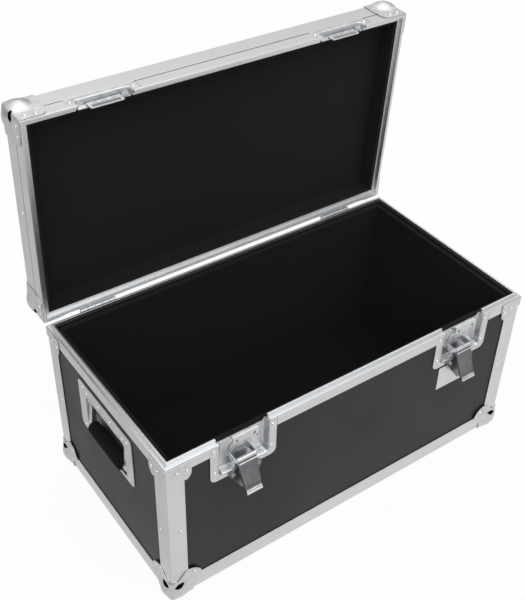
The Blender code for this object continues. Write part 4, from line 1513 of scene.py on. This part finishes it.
@dataclass
class Latch:
    """A recessed turn latch: its wings turn a drum, which draws a claw down on the lid's strike."""

    side: Side
    steel: bpy.types.Material
    # Steel of the wing plates, darkened as painted shade
    wing_steel: bpy.types.Material
    springs: bpy.types.NodeTree
    reach: float = LATCH_X
    drum_drop: float = 36.0
    front_pin: Flat = (-5.5, 42.0)
    rear_pin: Flat = (0.0, 47.5)
    front_hang: float = 23.0
    rear_hang: float = 12.0
    stud_x: float = 14.0
    stud_r: float = 1.75
    rib_x: float = 30.0
    rib_r: float = 2.6
    rib_ends: Flat = (9.0, 30.0)

    @property
    def x(self) -> float:
        """X of the latch's middle."""
        return self.side.value * self.reach

    def draw_line(self, x: float, depth: float) -> Point:
        """The point at a depth on the line that the claw is guided along."""
        return x, CASE.front + depth, CASE.parting - 8.0 - (depth - 4.4) * 2.5 / 7.0

    def name(self, part: str) -> str:
        """The name of one of the latch's CAD nodes."""
        return f"{self.side.word}_latch_{part}"

    def build(self) -> None:
        """Makes the whole latch."""
        self.dish()
        self.drum()
        self.claw()
        self.front_wing()
        self.rear_wing()
        self.keeper()

    def dish(self) -> None:
        """The lower dish: flange, bead round the mouth, drafted walls, guide studs and rib."""
        rows = (
            (54.0, 70.0, 10.0, 1.8, 0.3), (44.3, 63.2, 8.5, 1.8, 0.3), (43.7, 62.6, 8.2, 1.8, -0.6),
            (42.7, 61.6, 7.6, 1.8, -1.0), (41.6, 60.5, 7.0, 1.8, -0.7), (40.7, 59.6, 6.5, 1.2, 0.6),
            (40.4, 59.3, 6.0, 0.6, 2.0), (39.6, 58.5, 5.5, 0.6, 8.8), (39.0, 57.9, 5.0, 2.0, 10.2),
            (37.4, 56.3, 4.0, 8.0, 11.0))
        away = (self.x, CASE.front + 60, CASE.parting - 36)
        made = piece(self.name("dish_sheet"), pressed_dish(self.x, -1, rows), [self.steel],
                     bevel=0.0, wall=1.1, smooth=40, away=away)
        cut_through(made, cylinder(Axis.Y, (self.x, CASE.parting - self.drum_drop), 5.3,
                                   CASE.front + 9, CASE.front + 14))
        settle(made, "case", "zinc_plated_steel", self.name("dish"))
        studs, ribs = [], []
        for side in (-1, 1):
            x = self.x + side * self.stud_x
            studs.append(tube([self.draw_line(x, 1.0), self.draw_line(x, 11.6)], self.stud_r, 24))
            # The half-round rib pressed beside the drum
            x, y = self.x + side * self.rib_x, CASE.front + 11.2
            ends = [(x, y, CASE.parting - drop) for drop in self.rib_ends]
            ribs.append(tube(ends, self.rib_r, 20))
        made = piece(self.name("dish_studs"), joined(*studs, *ribs), [self.steel], bevel=0.3)
        settle(made, "case", "zinc_plated_steel", self.name("dish"))

    def drum(self) -> None:
        """The turning yoke: a stepped disc on its axle, two ears, the wing pins and springs."""
        front, z = CASE.front, CASE.parting - self.drum_drop
        outline = [(13.6, 5.0), (10.75, 5.0), (10.7, 19.2), (10.4, 19.5), (9.1, 19.5), (8.7, 19.1),
                   (8.7, 16.6), (9.1, 16.2), (9.1, 15.0), (8.6, 14.4), (8.4, 8.0), (8.1, 7.4),
                   (7.9, 6.0), (7.9, 3.4), (8.3, 3.0), (8.3, 0.4)]
        disc = revolved([(front + a, r) for a, r in outline], Axis.Y, (self.x, z), 56)
        ear = rounded([(front + a, CASE.parting - drop, soft) for a, drop, soft in
                       ((-8.1, 44.6, 2.1), (2.6, 50.1, 1.0), (9.7, 50.1, 0), (9.7, 39.4, 0),
                        (-8.1, 39.4, 2.1))], 5)
        parts = [disc]
        for side in (-1, 1):
            low, high = sorted((self.x + side * 16.0, self.x + side * 17.5))
            parts.append(prism(ear, Axis.X, low, high))
        head = ((18.9, 0.8), (18.6, 1.7), (17.7, 2.2), (17.6, 1.5))
        pin = [(self.x - a, r) for a, r in head] + [(self.x + a, r) for a, r in reversed(head)]
        for depth, drop in (self.front_pin, self.rear_pin):
            parts.append(revolved(pin, Axis.X, (front + depth, CASE.parting - drop), 20))
        made = piece(self.name("drum_yoke"), joined(*parts), [self.steel], bevel=0.25)
        settle(made, f"{self.side.word}_drum", "zinc_plated_steel", self.name("drum"))
        spots = [((self.x + side * 19.0, front - 3.8, CASE.parting - 42.5), (side, 0, 0))
                 for side in (-1, 1)]
        made = grown(self.name("wing_springs"), self.springs, spots,
                     {"Radius": 0.0020, "Length": 0.0056, "Turns": 5.0, "Wire": 0.00042},
                     self.steel)
        settle(made, f"{self.side.word}_drum", "zinc_plated_steel")

    def claw(self) -> None:
        """The claw that the drum draws in and down, with the bosses that run on the studs."""
        y, top = CASE.front - 3.5, CASE.parting + 2.3
        section = rounded([(y, top - 11.8, 0.5), (y, top, 1.0), (y + 5.5, top, 0.7),
                           (y + 5.5, top - 1.8, 0.5), (y + 1.8, top - 1.8, 0.5),
                           (y + 1.8, top - 11.8, 0.5)], 3)
        bar = prism(section, Axis.X, self.x - 20, self.x + 20)
        for side in (-1, 1):
            x = self.x + side * self.stud_x
            fit = self.stud_r + GAP
            boss = tube([self.draw_line(x, -2.9), self.draw_line(x, 2.3)], fit + 1.0, 24)
            bore = tube([self.draw_line(x, -8.5), self.draw_line(x, 11.5)], fit, 24)
            bar = changed(changed(bar, "UNION", boss), "DIFFERENCE", bore)
        made = piece(self.name("claw"), bar, [self.steel], bevel=0.2)
        settle(made, f"{self.side.word}_hook", "zinc_plated_steel", self.name("hook"))

    def hung(self, solid: Solid, pin: Flat, hang: float) -> Solid:
        """Hangs a wing, made with its pin at zero and its length down, at its angle.

        Args:
            solid: The wing.
            pin: Depth and drop of its pin.
            hang: How far it stands off straight down, in degrees.

        Returns:
            The wing in its place.
        """
        turn = Matrix.Rotation(math.radians(-hang), 3, "X")
        at = Vector((self.x, CASE.front + pin[0], CASE.parting - pin[1]))
        return moved(solid, lambda p: turn @ p + at)

    def plate(self, rows: Sequence[tuple[float, float, float]], border: float, field: float,
              edge: float) -> Solid:
        """A wing's pressed plate, with a raised border round a sunk field and turned-in sides.

        Args:
            rows: Distance from the pin, half width and how far the row stands proud.
            border: Width of the border.
            field: How deep the field lies under the border.
            edge: How far the sides are turned in.

        Returns:
            The plate's front surface.
        """
        loops = []
        for s, half, proud in rows:
            y = -0.9 - proud
            sunk = y + (field if proud <= 0.01 else 0.0)
            side = [(-half, edge), (-half, edge * 0.4), (-half + 0.15, -0.3), (-half + 0.7, y),
                    (-half + border, y), (-half + border + 0.7, sunk)]
            if half < border + 1.6:
                side = [(-half, edge), (-half, edge * 0.4), (-half + 0.15, -0.3), (-half + 0.7, y),
                        (-half * 0.5, y), (-half * 0.25, y)]
            middle = (0.0, sunk if half >= border + 1.6 else y)
            row = side + [middle] + [(-a, b) for a, b in reversed(side)]
            loops.append([(a, b, -s) for a, b in row])
        return loft(loops, closed=False)

    def front_wing(self) -> None:
        """The wing nearer the eye: rolled edges top and bottom, a bead by each, a sunk field."""
        def half(s: float) -> float:
            """Half the wing's width at a distance from its pin."""
            return 15.5 - 2.5 * max(s - 3.0, 0.0) / 50.0

        raised = {4.6: 0.0, 5.4: 0.25, 6.2: 0.75, 7.0: 0.75, 7.8: 0.25, 8.6: 0.0, 9.6: 0.0,
                  20.0: 0.0, 30.0: 0.0, 40.0: 0.0, 46.4: 0.0, 47.4: 0.25, 48.2: 0.7, 49.0: 0.7,
                  49.8: 0.25, 50.6: 0.0, 51.8: 0.0}
        rows = [(2.2, half(2.2), 0.02)]
        rows += [(s, half(s), p if p else (0.0 if 8.0 < s < 47.0 else 0.02))
                 for s, p in raised.items()]
        plate = self.plate(rows, 2.2, 0.55, 3.0)
        made = piece(self.name("front_wing_plate"),
                     self.hung(plate, self.front_pin, self.front_hang), [self.wing_steel],
                     wall=1.0, smooth=40, away=(self.x, CASE.front + 60, CASE.parting - 60))
        settle(made, f"{self.side.word}_front_wing", "zinc_plated_steel", self.name("front_wing"))
        barrel = pipe(Axis.X, (0, 0), 3.0, 1.8, -15.5, 15.5)
        roll = revolved([(-13.0, 1.2), (-12.6, 2.0), (12.6, 2.0), (13.0, 1.2)], Axis.X,
                        (-0.7, -53.0), 20)
        beads = [tube([(-reach, -1.1, -s), (reach, -1.1, -s)], 1.15, 16)
                 for s, reach in ((6.6, 14.4), (49.2, 12.6))]
        made = piece(self.name("front_wing_rolls"),
                     self.hung(joined(barrel, roll, *beads), self.front_pin, self.front_hang),
                     [self.steel], bevel=0.3)
        settle(made, f"{self.side.word}_front_wing", "zinc_plated_steel", self.name("front_wing"))

    def rear_wing(self) -> None:
        """The wing behind: it widens under its neck, then tapers, with two eyelets."""
        widths = smooth_line(((2.0, 15.5), (11.0, 15.5), (14.5, 20.5), (17.5, 26.2), (20.5, 27.0),
                              (26.0, 23.6), (38.0, 15.8), (51.0, 6.5)), 3)
        plate = self.plate([(s, w, 0.0) for s, w in widths], 2.0, 0.45, 1.6)
        made = piece(self.name("rear_wing_plate"), self.hung(plate, self.rear_pin, self.rear_hang),
                     [self.wing_steel], wall=1.0, smooth=40,
                     away=(self.x, CASE.front + 60, CASE.parting - 60))
        settle(made, f"{self.side.word}_rear_wing", "zinc_plated_steel", self.name("rear_wing"))
        parts = [pipe(Axis.X, (0, 0), 2.4, 1.8, -15.5, 15.5)]
        for side in (-1, 1):
            parts.append(revolved([(-0.3, 2.9), (-1.3, 2.7), (-1.5, 2.2), (-1.3, 1.7), (-0.3, 1.5)],
                                  Axis.Y, (side * 20.5, -20.0), 24))
        made = piece(self.name("rear_wing_eyelets"),
                     self.hung(joined(*parts), self.rear_pin, self.rear_hang), [self.steel])
        settle(made, f"{self.side.word}_rear_wing", "zinc_plated_steel", self.name("rear_wing"))

    def keeper(self) -> None:
        """The upper dish in the lid, with the strike that the claw takes hold of."""
        x, part = self.x, CASE.parting
        rows = (
            (54.0, 22.7, 4.0, 2.1, 0.3), (43.9, 17.4, 7.0, 2.1, 0.3), (43.2, 16.7, 6.8, 2.1, -0.1),
            (42.3, 15.8, 6.4, 2.1, -0.3), (41.4, 14.9, 6.0, 2.1, -0.1), (40.6, 14.1, 5.5, 1.2, 0.6),
            (40.3, 13.8, 5.2, 1.0, 2.0), (39.6, 13.1, 4.8, 4.5, 8.4), (38.6, 12.1, 4.0, 5.5, 9.6))
        sheet = opened(pressed_dish(x, 1, rows))
        away = opened(([(x, CASE.front + 60, part + 10)], []))[0][0]
        made = piece(self.name("keeper_sheet"), sheet, [self.steel], wall=0.9, smooth=40, away=away)
        settle(made, "lid", "zinc_plated_steel", self.name("keeper"))
        y = CASE.front + 6.0
        strike = prism(rectangle(x - 25, x + 25, part - 4.5, part + 10, 1.5), Axis.Y, y, y + 1.5)
        gap = prism(rectangle(x - 21.5, x + 21.5, part - 2.5, part + 4, 1.2), Axis.Y, y - 3, y + 4)
        shelf = box(x - 25, x + 25, y + 0.2, CASE.front + 10.0, part + 8.5, part + 9.9)
        slots = [prism(rectangle(x + a - 4, x + a + 4, part + 5.4, part + 7.4, 0.9), Axis.Y,
                       y - 3, y + 4) for a in (-14.0, 0.0, 14.0)]
        frame_bar = changed(strike, "DIFFERENCE", gap, *slots)
        made = piece(self.name("keeper_strike"), opened(joined(frame_bar, shelf)), [self.steel],
                     bevel=0.3)
        settle(made, "lid", "zinc_plated_steel", self.name("keeper"))
        spots = turned_open([((x + 26.5, CASE.front + 6.5, part + 7.4), (1, 0, 0))])
        made = grown(self.name("keeper_spring"), self.springs, spots,
                     {"Radius": 0.0036, "Length": 0.0090, "Turns": 5.0, "Wire": 0.00055},
                     self.steel)
        settle(made, "lid", "zinc_plated_steel")

    def rivets(self) -> tuple[list[Spot], list[Spot]]:
        """Finds the places of the rivets.

        Returns:
            The spots in the dish's flange, and those in the keeper's, for the closed lid.
        """
        def spot(a: float, h: float) -> Spot:
            """A spot of the flange."""
            return (self.x + a, CASE.front + 0.3, CASE.parting + h), (0, -1, 0)

        base = [spot(side * a, h) for side in (-1, 1) for a, h in ((47.3, -12.0), (46.5, -53.0))]
        return base, [spot(side * 47.3, 12.5) for side in (-1, 1)]


# Handles


@dataclass
class EndHandle:
    """A recessed sprung handle: a plate with its tray, a strap bail and a moulded grip."""

    side: Side
    steel: bpy.types.Material
    rubber: bpy.types.Material
    middle: float = -1.4
    height: float = 199.0
    pin_depth: float = 6.0
    pin_z: float = 15.0
    grip_depth: float = 2.4
    grip_z: float = -28.5
    grip_half: float = 47.5
    grip_r: float = 10.9
    ridge: float = 0.1
    ridge_pitch: float = 7.2
    eye_r: float = 3.6
    rod_r: float = 2.5

    def place(self, depth: float, along: float, up: float) -> Point:
        """A point from its depth in the end wall and its place from the plate's middle."""
        x = self.side.value * (CASE.right - depth)
        return x, self.middle + along, CASE.bottom + self.height + up

    def at(self, solid: Solid) -> Solid:
        """Puts a solid made of depth, along and up in its place."""
        return moved(solid, lambda p: self.place(*p))

    def build(self) -> list[Spot]:
        """Makes the handle.

        Returns:
            The rivets' spots.
        """
        word = self.side.word
        rows = (
            (79.0, -47.2, 47.2, 9.0, 0.3), (62.6, -44.1, 28.1, 9.5, 0.3),
            (61.8, -43.3, 27.3, 9.2, -0.2), (60.8, -42.3, 26.3, 8.6, -0.6),
            (59.6, -41.1, 25.1, 7.8, -0.4), (58.8, -40.3, 24.3, 7.0, 0.5),
            (58.5, -40.0, 24.0, 6.5, 2.0), (58.0, -39.5, 23.5, 6.0, 11.8),
            (57.3, -38.8, 22.8, 5.5, 13.5), (55.4, -36.9, 20.9, 4.5, 14.2))
        loops = [[(depth, a, b) for a, b in rectangle(-half, half, low, high, radius, 8)]
                 for half, low, high, radius, depth in rows]
        away = self.place(60, 0, -8)
        made = piece(f"{word}_handle_sheet", self.at(loft(loops, True, False, True)), [self.steel],
                     wall=1.1, smooth=40, away=away)
        pin = (self.side.value * (CASE.right - self.pin_depth),
               CASE.bottom + self.height + self.pin_z)
        for end in (-1, 1):
            low, high = sorted((self.middle + end * 50, self.middle + end * 70))
            cut_through(made, cylinder(Axis.Y, pin, 2.8, low, high, 24))
        settle(made, "case", "zinc_plated_steel", f"{word}_handle_dish")
        # Ridges pressed in the plate's top strip
        ridges = [tube([(0.3, a - 10, 38.5), (0.3, a + 10, 38.5)], 1.2, 16) for a in (-36, 0, 36)]
        made = piece(f"{word}_handle_ridges", self.at(joined(*ridges)), [self.steel], bevel=0.5)
        settle(made, "case", "zinc_plated_steel", f"{word}_handle_dish")
        self.bail(word)
        self.grip(word)
        out = (self.side.value, 0, 0)
        spots = ((66, 36), (53, 32.5), (18, 34), (66, -40))
        return [(self.place(0.3, side * a, b), out) for side in (-1, 1) for a, b in spots]

    def bail(self, word: str) -> None:
        """Makes the strap bail: two arms on their pins, and the rod through the grip.

        Args:
            word: The side's name.
        """
        top = Vector((self.pin_depth, self.pin_z))
        low = Vector((self.grip_depth, self.grip_z))
        along = (low - top).normalized()
        across = Vector((-along.y, along.x))
        half = 1.5
        parts = []
        for side in (-1, 1):
            start, end = sorted((side * 48.5, side * 57.5))
            outline = []
            for centre, reach in ((low, half), (top, -half)):
                for k in range(9):
                    turn = math.pi * k / 8
                    outline.append(tuple(centre + across * reach * math.cos(turn)
                                         + along * reach * math.sin(turn)))
            parts.append(prism(outline, Axis.Y, start, end))
            parts += [cylinder(Axis.Y, tuple(eye), self.eye_r, start, end, 28)
                      for eye in (top, low)]
            start, end = sorted((side * 50.0, side * 61.0))
            parts.append(cylinder(Axis.Y, tuple(top), self.rod_r, start, end, 24))
        parts.append(cylinder(Axis.Y, tuple(low), self.rod_r, -52, 52, 24))
        made = piece(f"{word}_handle_strap", self.at(joined(*parts)), [self.steel], bevel=0.5)
        settle(made, f"{word}_handle", "zinc_plated_steel", f"{word}_handle_bail")

    def grip(self, word: str) -> None:
        """Makes the grip: a turned bar with rounded ends and shallow finger ridges.

        Args:
            word: The side's name.
        """
        half = self.grip_half
        outline = [(-half, 6.4)]
        steps = 96
        for k in range(steps + 1):
            a = -half + 0.8 + (2 * half - 1.6) * k / steps
            from_end = half - abs(a)
            taper = 1 - 0.28 * math.exp(-from_end / 1.6) - 0.06 * math.exp(-from_end / 6.0)
            ridge = 0.0
            if from_end > 5:
                ridge = self.ridge * math.cos(2 * math.pi * a / self.ridge_pitch)
            outline.append((a, (self.grip_r - 0.3 + ridge) * taper))
        outline.append((half, 6.4))
        solid = revolved(outline, Axis.Y, (self.grip_depth, self.grip_z), 40)
        made = piece(f"{word}_handle_moulding", self.at(solid), [self.rubber], smooth=50)
        settle(made, f"{word}_handle", "grip_rubber", f"{word}_handle_grip")


# Hinges


@dataclass
class Hinge:
    """A butt hinge on the back: two leaves, five knuckles and the pin."""

    side: Side
    x: float
    steel: bpy.types.Material
    width: float = 60.0
    leaf: float = 34.0
    knuckle_r: float = 3.3
    pin_r: float = 1.6
    knuckles: int = 5
    corner_r: float = 5.0
    rivet_x: float = 20.0
    rivet_rows: Flat = (13.0, 27.0)

    def build(self) -> tuple[list[Spot], list[Spot]]:
        """Makes both leaves.

        Returns:
            The rivets' spots on the base's leaf, and those on the lid's for the closed lid.
        """
        y, z = CASE.back + CASE.hinge_out, CASE.parting - CASE.hinge_drop
        near = CASE.back + GAP
        left, right = self.x - self.width / 2, self.x + self.width / 2
        step = self.width / self.knuckles
        spots = []
        for up in (False, True):
            if up:
                low, high, below, above = z + 1.0, CASE.parting + self.leaf, 0, self.corner_r
            else:
                low, high, below, above = CASE.parting - self.leaf, z - 1.0, self.corner_r, 0
            corners = ((left, low, below), (right, low, below), (right, high, above),
                       (left, high, above))
            plate = prism(rounded(corners, 5), Axis.Y, near, near + SHEET_T)
            plate = changed(plate, "DIFFERENCE",
                            cylinder(Axis.X, (y, z), self.knuckle_r + GAP, left - 30, right + 30))
            parts = [plate]
            for k in range(self.knuckles):
                if (k % 2 == 1) != up:
                    continue
                a = left + k * step + (GAP / 2 if k else 0)
                b = left + (k + 1) * step - (GAP / 2 if k < self.knuckles - 1 else 0)
                bore = self.pin_r + (GAP if up else -0.1)
                parts.append(pipe(Axis.X, (y, z), self.knuckle_r, bore, a, b))
                tie = (z + 2.4, z + 5) if up else (z - 5, z - 2.4)
                parts.append(box(a, b, near, near + SHEET_T, *tie))
            if not up:
                head = ((1.0, 0.9), (0.7, 1.9), (0.1, 2.1), (0.0, self.pin_r))
                ends = [(left - a, r) for a, r in head]
                ends += [(right + a, r) for a, r in reversed(head)]
                parts.append(revolved(ends, Axis.X, (y, z), 24))
            solid = joined(*parts)
            word = "lid" if up else "base"
            made = piece(f"{self.side.word}_hinge_{word}_plate", opened(solid) if up else solid,
                         [self.steel], bevel=0.2)
            settle(made, "lid" if up else "case", "zinc_plated_steel",
                   f"{self.side.word}_hinge_{word}_leaf")
            grow = 1 if up else -1
            spots.append([((self.x + a, near + SHEET_T, CASE.parting + grow * h), (0, 1, 0))
                          for a in (-self.rivet_x, self.rivet_x) for h in self.rivet_rows])
        return spots[0], spots[1]


# The plain parts


@dataclass
class NamePlate:
    """The small silver plate beside the right latch, bare because the case names no maker."""

    metal: bpy.types.Material
    left: float = 165.0
    width: float = 55.0
    low: float = 155.5
    height: float = 45.0
    thickness: float = 0.8

    def build(self) -> None:
        """Makes the plate on the front wall."""
        front, low = CASE.front + PANEL_IN, CASE.bottom + self.low
        outline = rectangle(self.left, self.left + self.width, low, low + self.height, 2.0)
        made = piece("blank_name_plate", prism(outline, Axis.Y, front - self.thickness, front),
                     [self.metal], bevel=0.2)
        settle(made, "case", "aluminium_extrusion")


@dataclass
class CarriedNodes:
    """The CAD nodes whose plain shape is right: boards and linings only get their material."""

    finishes: Finishes

    def dress(self) -> None:
        """Gives each carried node its material."""
        for name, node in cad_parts.items():
            material = {"base_lining": self.finishes.deep_lining,
                        "lid_lining": self.finishes.lining}.get(name, self.finishes.laminate)
            node.data.materials.clear()
            node.data.materials.append(material)


@dataclass
class FlightCase:
    """The whole case: every sub-assembly in order, then the rivets that hold them."""

    finishes: Finishes
    left_hinge_x: float = -237.0
    right_hinge_x: float = 226.0
    # The rivets' sizes, in metres, as their tree takes them
    rivet_r_m: float = 0.0036
    rivet_height_m: float = 0.0022

    def build(self) -> None:
        """Makes everything that stands on the CAD model."""
        steel, dark = self.finishes.plated, self.finishes.shadow
        extrusions = Extrusions(self.finishes.extrusion)
        extrusions.build()
        base, lid = extrusions.rivets()
        springs = spring_tree()
        for side in Side:
            latch = Latch(side, steel, self.finishes.wing, springs)
            latch.build()
            low, high = latch.rivets()
            base += low
            lid += high
            base += EndHandle(side, steel, self.finishes.rubber).build()
        for side, x in ((Side.LEFT, self.left_hinge_x), (Side.RIGHT, self.right_hinge_x)):
            low, high = Hinge(side, x, steel).build()
            base += low
            lid += high
        foot, cap = BallCorner(FOOT_SHAPE, steel, dark), BallCorner(LID_SHAPE, steel, dark)
        for name, (side_x, side_y) in CORNERS.items():
            base += foot.build(f"{name}_foot_ball", side_x, side_y, "case", f"{name}_foot_corner")
            lid += cap.build(f"lid_{name}_ball", side_x, side_y, "lid", f"lid_{name}_corner")
            base += Brace(steel).build(name, side_x, side_y)
        NamePlate(self.finishes.extrusion[Axis.X]).build()
        CarriedNodes(self.finishes).dress()
        heads = rivet_tree()
        sizes = {"Radius": self.rivet_r_m, "Height": self.rivet_height_m}
        bright = self.finishes.rivet
        settle(grown("base_rivets", heads, base, sizes, bright), "case", "zinc_plated_steel")
        settle(grown("lid_rivets", heads, turned_open(lid), sizes, bright), "lid",
               "zinc_plated_steel")


# The studio


@dataclass
class Studio:
    """A pale floor, soft boxes over the case and the photograph's camera."""

    eye: Point = (-715.5, -909.4, 1225.4)
    ahead: Point = (0.4601, 0.6317, -0.6239)
    right: Point = (0.8183, -0.5744, 0.0218)
    lens: float = 58.35
    white: float = 1.0
    floor_glow: float = 0.93
    floor_in_metal: float = 0.82
    floor_left: float = 0.62
    key_watts: float = 26
    top_watts: float = 14
    fill_watts: float = 3
    # Where the cloth's edge lies, in metres
    cloth_from_m: float = -0.42
    cloth_to_m: float = -0.26
    room_low: float = 0.2
    room_high: float = 1.02

    def build(self) -> None:
        """Makes the floor, the lights, the world and the camera."""
        self.floor()
        self.world()
        self.lamp("key soft box", (-300, -1700, 2300), (0, 0, 150), 2600, 2400, self.key_watts)
        self.lamp("top soft box", (300, 300, 2600), (0, 0, 200), 2600, 2600, self.top_watts)
        self.lamp("left fill", (-2400, -300, 1000), (0, 0, 200), 2000, 2000, self.fill_watts)
        self.camera()

    def floor(self) -> None:
        """A plain white floor that keeps the case's shadow."""
        span = 9000.0
        solid = ([(-span, -span, 0), (span, -span, 0), (span, span, 0), (-span, span, 0)],
                 [(0, 1, 2, 3)])
        material, tree, shader = blank("Matt white paper")
        shader.inputs["Base Color"].default_value = (0.86, 0.86, 0.86, 1)
        shader.inputs["Roughness"].default_value = 0.9
        shader.inputs["Specular IOR Level"].default_value = 0.1
        path = add(tree, "ShaderNodeLightPath")
        place = add(tree, "ShaderNodeTexCoord").outputs["Object"]
        split = add(tree, "ShaderNodeSeparateXYZ", None, {"Vector": place})
        # A dark cloth on the left gives the case's left side its darker metal
        metal = add(tree, "ShaderNodeMapRange", {"interpolation_type": "SMOOTHSTEP"},
                    {"Value": split.outputs["X"], "From Min": self.cloth_from_m,
                     "From Max": self.cloth_to_m,
                     "To Min": self.floor_left, "To Max": self.floor_in_metal})
        tone = add(tree, "ShaderNodeMix", {"data_type": "FLOAT"},
                   {0: path.outputs["Is Glossy Ray"], 2: self.white, 3: metal.outputs["Result"]})
        glow = add(tree, "ShaderNodeEmission", None,
                   {"Color": (1, 1, 1, 1), "Strength": tone.outputs[0]})
        share = add(tree, "ShaderNodeMath", {"operation": "MULTIPLY_ADD"},
                    {0: path.outputs["Is Camera Ray"], 1: self.floor_glow,
                     2: path.outputs["Is Glossy Ray"]})
        mix = add(tree, "ShaderNodeMixShader", None,
                  {0: share.outputs["Value"], 1: shader.outputs["BSDF"],
                   2: glow.outputs["Emission"]})
        tree.links.new(mix.outputs["Shader"], tree.nodes["Material Output"].inputs["Surface"])
        floor = piece("studio_floor", solid, [material])

    def world(self) -> None:
        """A white room to the camera, and a darker one in the metal, brighter above."""
        world = bpy.data.worlds.new("studio")
        bpy.context.scene.world = world
        world.use_nodes = True
        tree = world.node_tree
        tree.nodes.clear()
        place = add(tree, "ShaderNodeTexCoord").outputs["Generated"]
        split = add(tree, "ShaderNodeSeparateXYZ", None, {"Vector": place})
        level = add(tree, "ShaderNodeMapRange", {"interpolation_type": "SMOOTHSTEP"},
                    {"Value": split.outputs["Z"], "From Min": -0.05, "From Max": 0.6,
                     "To Min": self.room_low, "To Max": self.room_high})
        room = add(tree, "ShaderNodeBackground", None, {"Strength": level.outputs["Result"]})
        seen = add(tree, "ShaderNodeBackground", None,
                   {"Color": (1, 1, 1, 1), "Strength": self.white})
        path = add(tree, "ShaderNodeLightPath")
        mix = add(tree, "ShaderNodeMixShader", None,
                  {0: path.outputs["Is Camera Ray"], 1: room.outputs["Background"],
                   2: seen.outputs["Background"]})
        add(tree, "ShaderNodeOutputWorld", None, {"Surface": mix.outputs["Shader"]})

    def lamp(self, name: str, place: Point, target: Point, wide: float, high: float,
             watts: float) -> None:
        """Hangs one soft box.

        Args:
            name: Its name.
            place: Where it hangs.
            target: What it points at.
            wide: Its width.
            high: Its height.
            watts: Its power.
        """
        light = bpy.data.lights.new(name, "AREA")
        light.shape = "RECTANGLE"
        light.size = wide * MM
        light.size_y = high * MM
        light.energy = watts
        made = stood(name, light)
        made.location = in_frame(place)
        made.rotation_euler = (Vector(target) - Vector(place)).to_track_quat("-Z", "Y").to_euler()

    def camera(self) -> None:
        """Stands the camera where the photograph was taken."""
        lens = bpy.data.cameras.new("photo camera")
        lens.lens = self.lens
        lens.sensor_width = 36.0
        lens.sensor_fit = "AUTO"
        lens.clip_start = 0.01
        lens.clip_end = 100.0
        made = stood("photo camera", lens)
        ahead = Vector(self.ahead).normalized()
        right = (Vector(self.right) - ahead * Vector(self.right).dot(ahead)).normalized()
        up = right.cross(ahead)
        turn = Matrix((right, up, -ahead)).transposed()
        made.matrix_world = Matrix.Translation(in_frame(self.eye)) @ turn.to_4x4()
        bpy.context.scene.camera = made


def main() -> None:
    """Builds the studio and the case."""
    logging.basicConfig(level=logging.INFO, format="%(name)s: %(message)s")
    bpy.context.scene.view_settings.view_transform = "Standard"
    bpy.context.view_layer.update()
    Studio().build()
    FlightCase(Finishes()).build()


if __name__ == "__main__":
    main()
